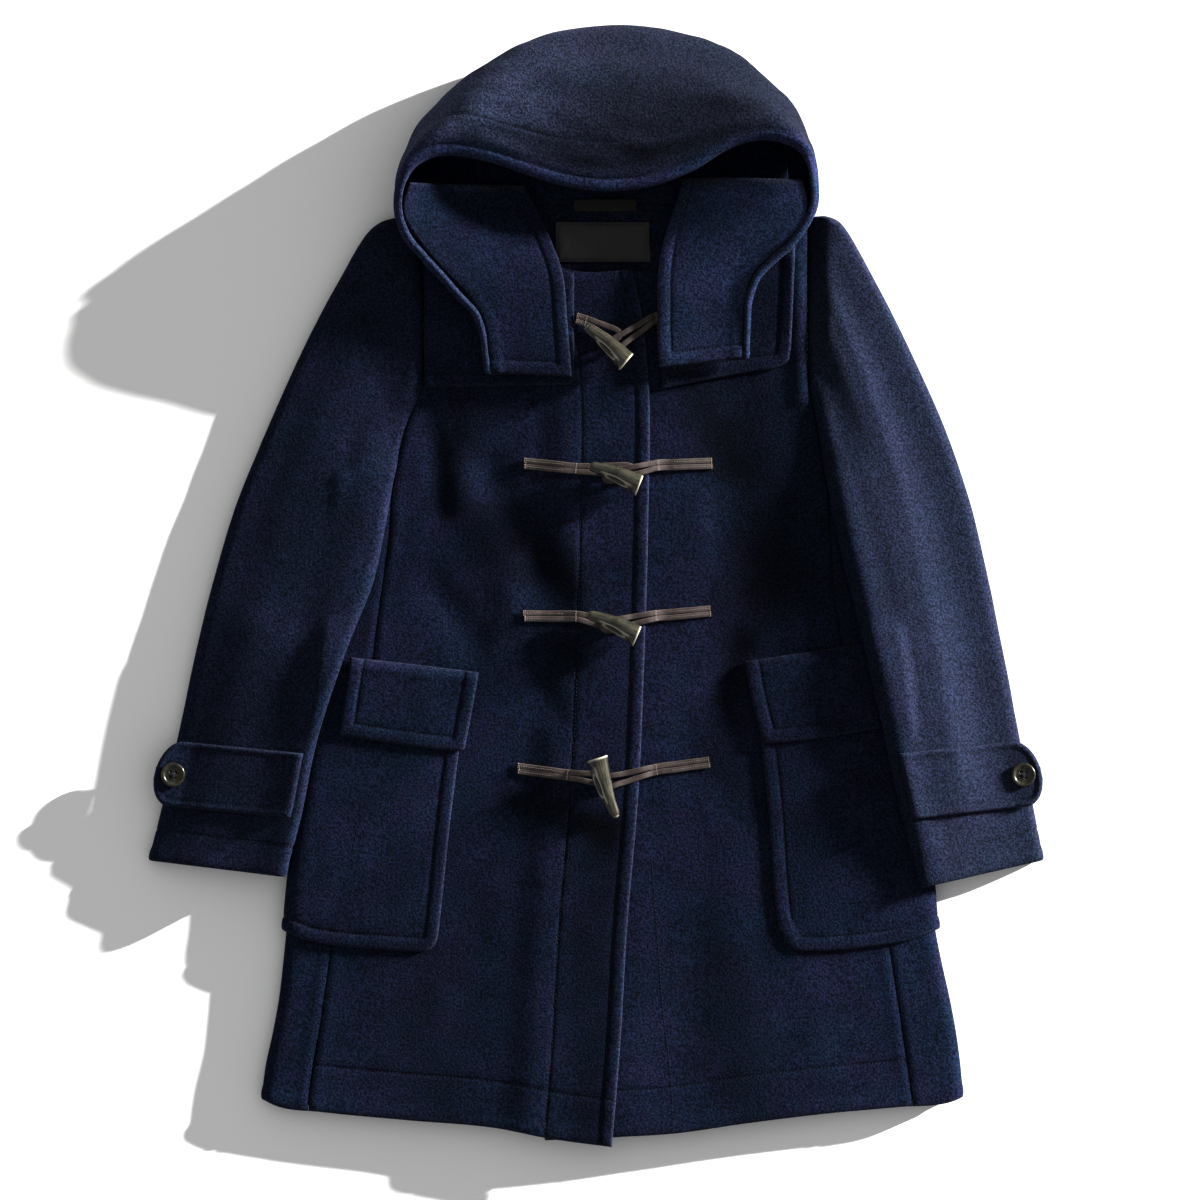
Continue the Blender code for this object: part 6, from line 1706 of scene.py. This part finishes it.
def make_trim_materials():
    """Finishes of everything but the wool."""
    trim = bpy.context.scene.coat_trim
    make_leather_material()
    make_horn()
    button = Nodes("button", 0.3, 0.5)
    cloud = button.noise(button.place(), 260.0, 3.0, 0.6)
    colour = button.blend(button.spread(cloud, 0.35, 0.68), rgba(trim.button, 0.6), rgba(trim.button, 1.9))
    # painted shade in the button's holes
    button.colour(button.blend(button.attribute("hole_and_shade"), colour, rgba((0.003, 0.003, 0.003))))
    button.bump(cloud, 0.0001, 0.3)
    label = Nodes("label", 0.42, 0.5)
    weave = label.add("TexWave", {"bands_direction": "X"}, Vector=label.place("UV"), Scale=620.0)
    slub = label.add("Mapping", None, Vector=label.place("UV"), Scale=(260.0, 1900.0, 1.0))
    slub = label.add("TexNoise", None, Vector=slub, Scale=1.0, Detail=3.0, Roughness=0.65)
    slub = label.blend(label.spread(slub, 0.3, 0.7), (0.45, 0.45, 0.45, 1), (1.75, 1.75, 1.75, 1))
    tone = label.blend(weave, rgba((0.011, 0.011, 0.012)), rgba((0.022, 0.022, 0.023)))
    tone = label.tint(tone, slub)
    # the label is darker towards its turned edges
    wear_and_light_mix = label.times(label.attribute("wear_and_light"), 0.5)
    label.colour(label.blend(wear_and_light_mix, tone, rgba((0.004, 0.004, 0.004))))
    label.bump(weave, 0.00006, 0.5)
    tape = Nodes("tape", 0.75, 0.3)
    rib = tape.add("TexWave", {"bands_direction": "X"}, Vector=tape.place("UV"), Scale=260.0)
    tape.colour(tape.blend(rib, rgba((0.011, 0.012, 0.011)), rgba((0.032, 0.034, 0.031))))
    tape.bump(rib, 0.0003, 0.8)
    for name, tone in (("thread", trim.thread), ("leather_thread", trim.leather_thread)):
        thread = Nodes(name, 0.7, 0.4)
        twist = thread.noise(thread.place(), 2200.0, 1.0, 0.5)
        thread.colour(thread.blend(thread.spread(twist, 0.4, 0.6), rgba(tone, 0.7), rgba(tone, 1.35)))
        thread.bump(twist, 0.0001, 0.5)


# ---------------------------------------------------------------- the stage
def add_sun(name, floor, use, strength, height, turn, softness):
    """A side light for the floor alone (INCLUDE), or for everything but the floor (EXCLUDE)."""
    light = bpy.data.lights.new(name, "SUN")
    light.energy = strength
    light.angle = softness
    light.color = bpy.context.scene.coat_stage.sun_colour
    lamp = bpy.data.objects.new(name, light)
    way = Vector((math.cos(height) * math.cos(turn), math.cos(height) * math.sin(turn), -math.sin(height)))
    lamp.rotation_euler = way.to_track_quat("-Z", "Y").to_euler()
    bpy.context.scene.collection.objects.link(lamp)
    lit = bpy.data.collections.new(name)
    lit.objects.link(floor)
    lit.collection_objects[0].light_linking.link_state = use
    lamp.light_linking.receiver_collection = lit


def make_stage():
    """Paper floor, even sky, one sun for the floor and two for the coat, and a camera above."""
    stage = bpy.context.scene.coat_stage
    paper = Nodes("floor", 0.9, 0.1)
    paper.shader.inputs["Base Color"].default_value = rgba(stage.floor)
    size = stage.floor_size / 2
    mesh = bpy.data.meshes.new("floor")
    corners = [(-size, -size, FLOOR_Z), (size, -size, FLOOR_Z), (size, size, FLOOR_Z), (-size, size, FLOOR_Z)]
    mesh.from_pydata(corners, [], [(0, 1, 2, 3)])
    mesh.materials.append(FINISHES["floor"])
    floor = bpy.data.objects.new("floor", mesh)
    bpy.context.scene.collection.objects.link(floor)

    world = bpy.data.worlds.new("sky")
    world.use_nodes = True
    sky = world.node_tree.nodes["Background"]
    sky.inputs["Color"].default_value = (*stage.sky, 1.0)
    sky.inputs["Strength"].default_value = stage.sky_strength
    bpy.context.scene.world = world

    add_sun("window", floor, "INCLUDE", stage.sun_strength, stage.sun_height, stage.sun_turn,
            stage.sun_softness)
    add_sun("softbox", floor, "EXCLUDE", stage.key_strength, stage.key_height, stage.key_turn,
            stage.key_softness)
    add_sun("side", floor, "EXCLUDE", stage.side_strength, stage.side_height, stage.key_turn,
            stage.side_softness)

    lens = bpy.data.cameras.new("camera")
    lens.sensor_width = 36.0
    lens.lens = lens.sensor_width * stage.camera_height / stage.view_width
    lens.clip_end = 40.0
    camera = bpy.data.objects.new("camera", lens)
    camera.location = (stage.view_x, stage.view_y, stage.camera_height)
    bpy.context.scene.collection.objects.link(camera)
    bpy.context.scene.camera = camera
    view = bpy.context.scene.view_settings
    view.view_transform = "Standard"
    view.gamma = stage.contrast


# ---------------------------------------------------------------- settings
def colour_setting(name, description, default):
    return bpy.props.FloatVectorProperty(name=name, description=description, subtype="COLOR",
                                         default=default, min=0, max=1)


def setting(name, description, default, low, high, **kind):
    return bpy.props.FloatProperty(name=name, description=description, default=default, min=low, max=high,
                                   **kind)


class ClothSettings(bpy.types.PropertyGroup):
    wool: colour_setting("Wool", "Colour of the felted wool", (0.0098, 0.0145, 0.0335))
    # rubbed_and_lit is also the colour of the painted light on the right sleeve and its cuff strap
    rubbed_and_lit: colour_setting("Rubbed", "Colour of the wool where it is rubbed pale", (0.044, 0.052, 0.086))
    nap: colour_setting("Nap", "Colour of lint and of the worn nap on edges", (0.070, 0.076, 0.105))
    sheen: setting("Sheen", "Strength of the nap's sheen", 0.02, 0, 1, subtype="FACTOR")
    sheen_colour: colour_setting("Sheen colour", "Colour of the nap's sheen", (0.8, 0.75, 0.9))
    grain: setting("Grain", "Size of the clumps of felted hair", 0.0021, 0.0005, 0.01, unit="LENGTH")
    grain_depth: setting("Grain depth", "Height of the clumps of hair", 0.0011, 0, 0.003, unit="LENGTH")
    stitch_length: setting("Stitch length", "Length of one visible stitch", 0.0025, 0.001, 0.006,
                           unit="LENGTH")
    thread: setting("Thread", "Thickness of the sewing thread", 0.0005, 0.0002, 0.001, unit="LENGTH")


class TrimSettings(bpy.types.PropertyGroup):
    leather: colour_setting("Leather", "Colour of the leather strips", (0.058, 0.047, 0.045))
    leather_edge: colour_setting("Leather edge", "Colour of the cut edges", (0.16, 0.115, 0.09))
    horn: colour_setting("Horn", "Colour of the toggles", (0.027, 0.0255, 0.019))
    # horn_rim_and_highlight is also the colour of the painted highlight streak on the toggles
    horn_rim_and_highlight: colour_setting("Horn rim", "Colour of the cut rims of the horn", (0.46, 0.43, 0.35))
    button: colour_setting("Button", "Colour of the cuff buttons", (0.021, 0.0205, 0.0135))
    thread: colour_setting("Thread", "Colour of the topstitching", (0.008, 0.010, 0.022))
    leather_thread: colour_setting("Leather thread", "Colour of the thread in the leather",
                                   (0.24, 0.205, 0.20))


class StageSettings(bpy.types.PropertyGroup):
    floor: colour_setting("Floor", "Colour of the floor", (0.94, 0.94, 0.94))
    floor_size: setting("Floor size", "Length of the floor's sides", 14.0, 2, 40, unit="LENGTH")
    sky: colour_setting("Sky", "Colour of the soft light from all sides", (1.0, 1.0, 1.0))
    sky_strength: setting("Sky strength", "Strength of the soft light", 0.56, 0, 5)
    sun_strength: setting("Sun strength", "Strength of the low light on the floor", 22.0, 0, 50)
    key_strength: setting("Key strength", "Strength of the side light on the coat", 12.5, 0, 50)
    key_height: setting("Key height", "Height of the light on the coat", math.radians(13.0), 0.05, 1.5,
                        subtype="ANGLE")
    key_turn: setting("Key direction", "Way the light on the coat travels, from +X", math.radians(205.0), 0,
                      6.3, subtype="ANGLE")
    side_strength: setting("Side strength", "Strength of the grazing light on the coat", 10.0, 0, 50)
    side_height: setting("Side height", "Height of the grazing light on the coat", math.radians(5.5), 0.05,
                         1.5, subtype="ANGLE")
    side_softness: setting("Side softness", "Angle that the grazing light fills", math.radians(8.0), 0, 2,
                           subtype="ANGLE")
    key_softness: setting("Key softness", "Angle that the light on the coat fills", math.radians(7.0), 0, 2,
                          subtype="ANGLE")
    sun_colour: colour_setting("Sun colour", "Colour of the low side light", (1.0, 0.985, 0.97))
    sun_height: setting("Sun height", "Height of the side light above the floor", math.radians(10.0), 0.05,
                        1.5, subtype="ANGLE")
    sun_turn: setting("Sun direction", "Way the side light travels, from +X", math.radians(204.2), 0, 6.3,
                      subtype="ANGLE")
    sun_softness: setting("Sun softness", "Angle that the side light fills", math.radians(0.9), 0, 1,
                          subtype="ANGLE")
    camera_height: setting("Camera height", "Height of the camera", 8.0, 1, 30, unit="LENGTH")
    view_width: setting("View width", "Width of floor that the camera takes in", 1.104, 0.2, 5,
                        unit="LENGTH")
    contrast: setting("Contrast", "Gamma of the picture; below 1 darkens it", 0.75, 0.5, 1.5)
    view_x: bpy.props.FloatProperty(name="View X", description="Place that the camera looks down on",
                                    default=0.0037, unit="LENGTH")
    view_y: bpy.props.FloatProperty(name="View Y", description="Place that the camera looks down on",
                                    default=-0.0124, unit="LENGTH")


# ---------------------------------------------------------------- operators
class COAT_OT_materials(bpy.types.Operator):
    """Make the wool, leather, horn, button, tape, label and thread finishes"""
    bl_idname = "coat.materials"
    bl_label = "Finishes"

    def execute(self, context):
        make_wool()
        make_trim_materials()
        return {"FINISHED"}


class COAT_OT_stage(bpy.types.Operator):
    """Make the floor, the light and the camera"""
    bl_idname = "coat.stage"
    bl_label = "Floor, light and camera"

    def execute(self, context):
        make_stage()
        return {"FINISHED"}


class COAT_OT_body(bpy.types.Operator):
    """Make the back and the two fronts"""
    bl_idname = "coat.body"
    bl_label = "Body"

    def execute(self, context):
        make_back()
        make_fronts()
        return {"FINISHED"}


class COAT_OT_yokes(bpy.types.Operator):
    """Make the storm flaps over the shoulders"""
    bl_idname = "coat.yokes"
    bl_label = "Yokes"

    def execute(self, context):
        make_yokes()
        return {"FINISHED"}


class COAT_OT_pockets(bpy.types.Operator):
    """Make the patch pockets and their flaps"""
    bl_idname = "coat.pockets"
    bl_label = "Pockets"

    def execute(self, context):
        make_pockets()
        make_flaps()
        return {"FINISHED"}


class COAT_OT_sleeves(bpy.types.Operator):
    """Make the two-piece sleeves"""
    bl_idname = "coat.sleeves"
    bl_label = "Sleeves"

    def execute(self, context):
        make_sleeves()
        return {"FINISHED"}


class COAT_OT_cuffs(bpy.types.Operator):
    """Make the cuff straps and their buttons"""
    bl_idname = "coat.cuffs"
    bl_label = "Cuff straps and buttons"

    def execute(self, context):
        make_cuffs()
        return {"FINISHED"}


class COAT_OT_hood(bpy.types.Operator):
    """Make the hood and its inner sides"""
    bl_idname = "coat.hood"
    bl_label = "Hood"

    def execute(self, context):
        make_hood()
        return {"FINISHED"}


class COAT_OT_toggles(bpy.types.Operator):
    """Make the horn toggles"""
    bl_idname = "coat.toggles"
    bl_label = "Toggles"

    def execute(self, context):
        make_toggles()
        return {"FINISHED"}


class COAT_OT_leather(bpy.types.Operator):
    """Make the leather strips that hold the toggles"""
    bl_idname = "coat.leather"
    bl_label = "Leather strips"

    def execute(self, context):
        make_leather()
        return {"FINISHED"}


class COAT_OT_neck(bpy.types.Operator):
    """Make the blank neck label and the hanger loop"""
    bl_idname = "coat.neck"
    bl_label = "Label and hanger loop"

    def execute(self, context):
        make_neck_parts()
        return {"FINISHED"}


class COAT_OT_stitches(bpy.types.Operator):
    """Sew the stitches along the edges, seams and leather strips"""
    bl_idname = "coat.stitches"
    bl_label = "Stitches"

    def execute(self, context):
        make_stitches()
        return {"FINISHED"}


STEPS = (COAT_OT_materials, COAT_OT_stage, COAT_OT_body, COAT_OT_yokes, COAT_OT_pockets, COAT_OT_sleeves,
         COAT_OT_cuffs, COAT_OT_hood, COAT_OT_toggles, COAT_OT_leather, COAT_OT_neck, COAT_OT_stitches)
GROUPS = (("coat_cloth", ClothSettings), ("coat_trim", TrimSettings), ("coat_stage", StageSettings))


class COAT_PT_panel(bpy.types.Panel):
    """Buttons for each group of pieces, and the settings"""
    bl_label = "Duffle Coat"
    bl_idname = "COAT_PT_panel"
    bl_space_type = "VIEW_3D"
    bl_region_type = "UI"
    bl_category = "Coat"

    def draw(self, context):
        for step in STEPS:
            self.layout.operator(step.bl_idname)
        for name, group in GROUPS:
            box = self.layout.box()
            for key in group.__annotations__:
                box.prop(getattr(context.scene, name), key)


def register():
    for group_name, group in GROUPS:
        bpy.utils.register_class(group)
        setattr(bpy.types.Scene, group_name, bpy.props.PointerProperty(type=group))
    for step in STEPS:
        bpy.utils.register_class(step)
    bpy.utils.register_class(COAT_PT_panel)


def unregister():
    bpy.utils.unregister_class(COAT_PT_panel)
    for step in reversed(STEPS):
        bpy.utils.unregister_class(step)
    for group_name, group in reversed(GROUPS):
        delattr(bpy.types.Scene, group_name)
        bpy.utils.unregister_class(group)


def main():
    register()
    for step in STEPS:
        group, name = step.bl_idname.split(".")
        getattr(getattr(bpy.ops, group), name)()


if __name__ == "__main__":
    main()
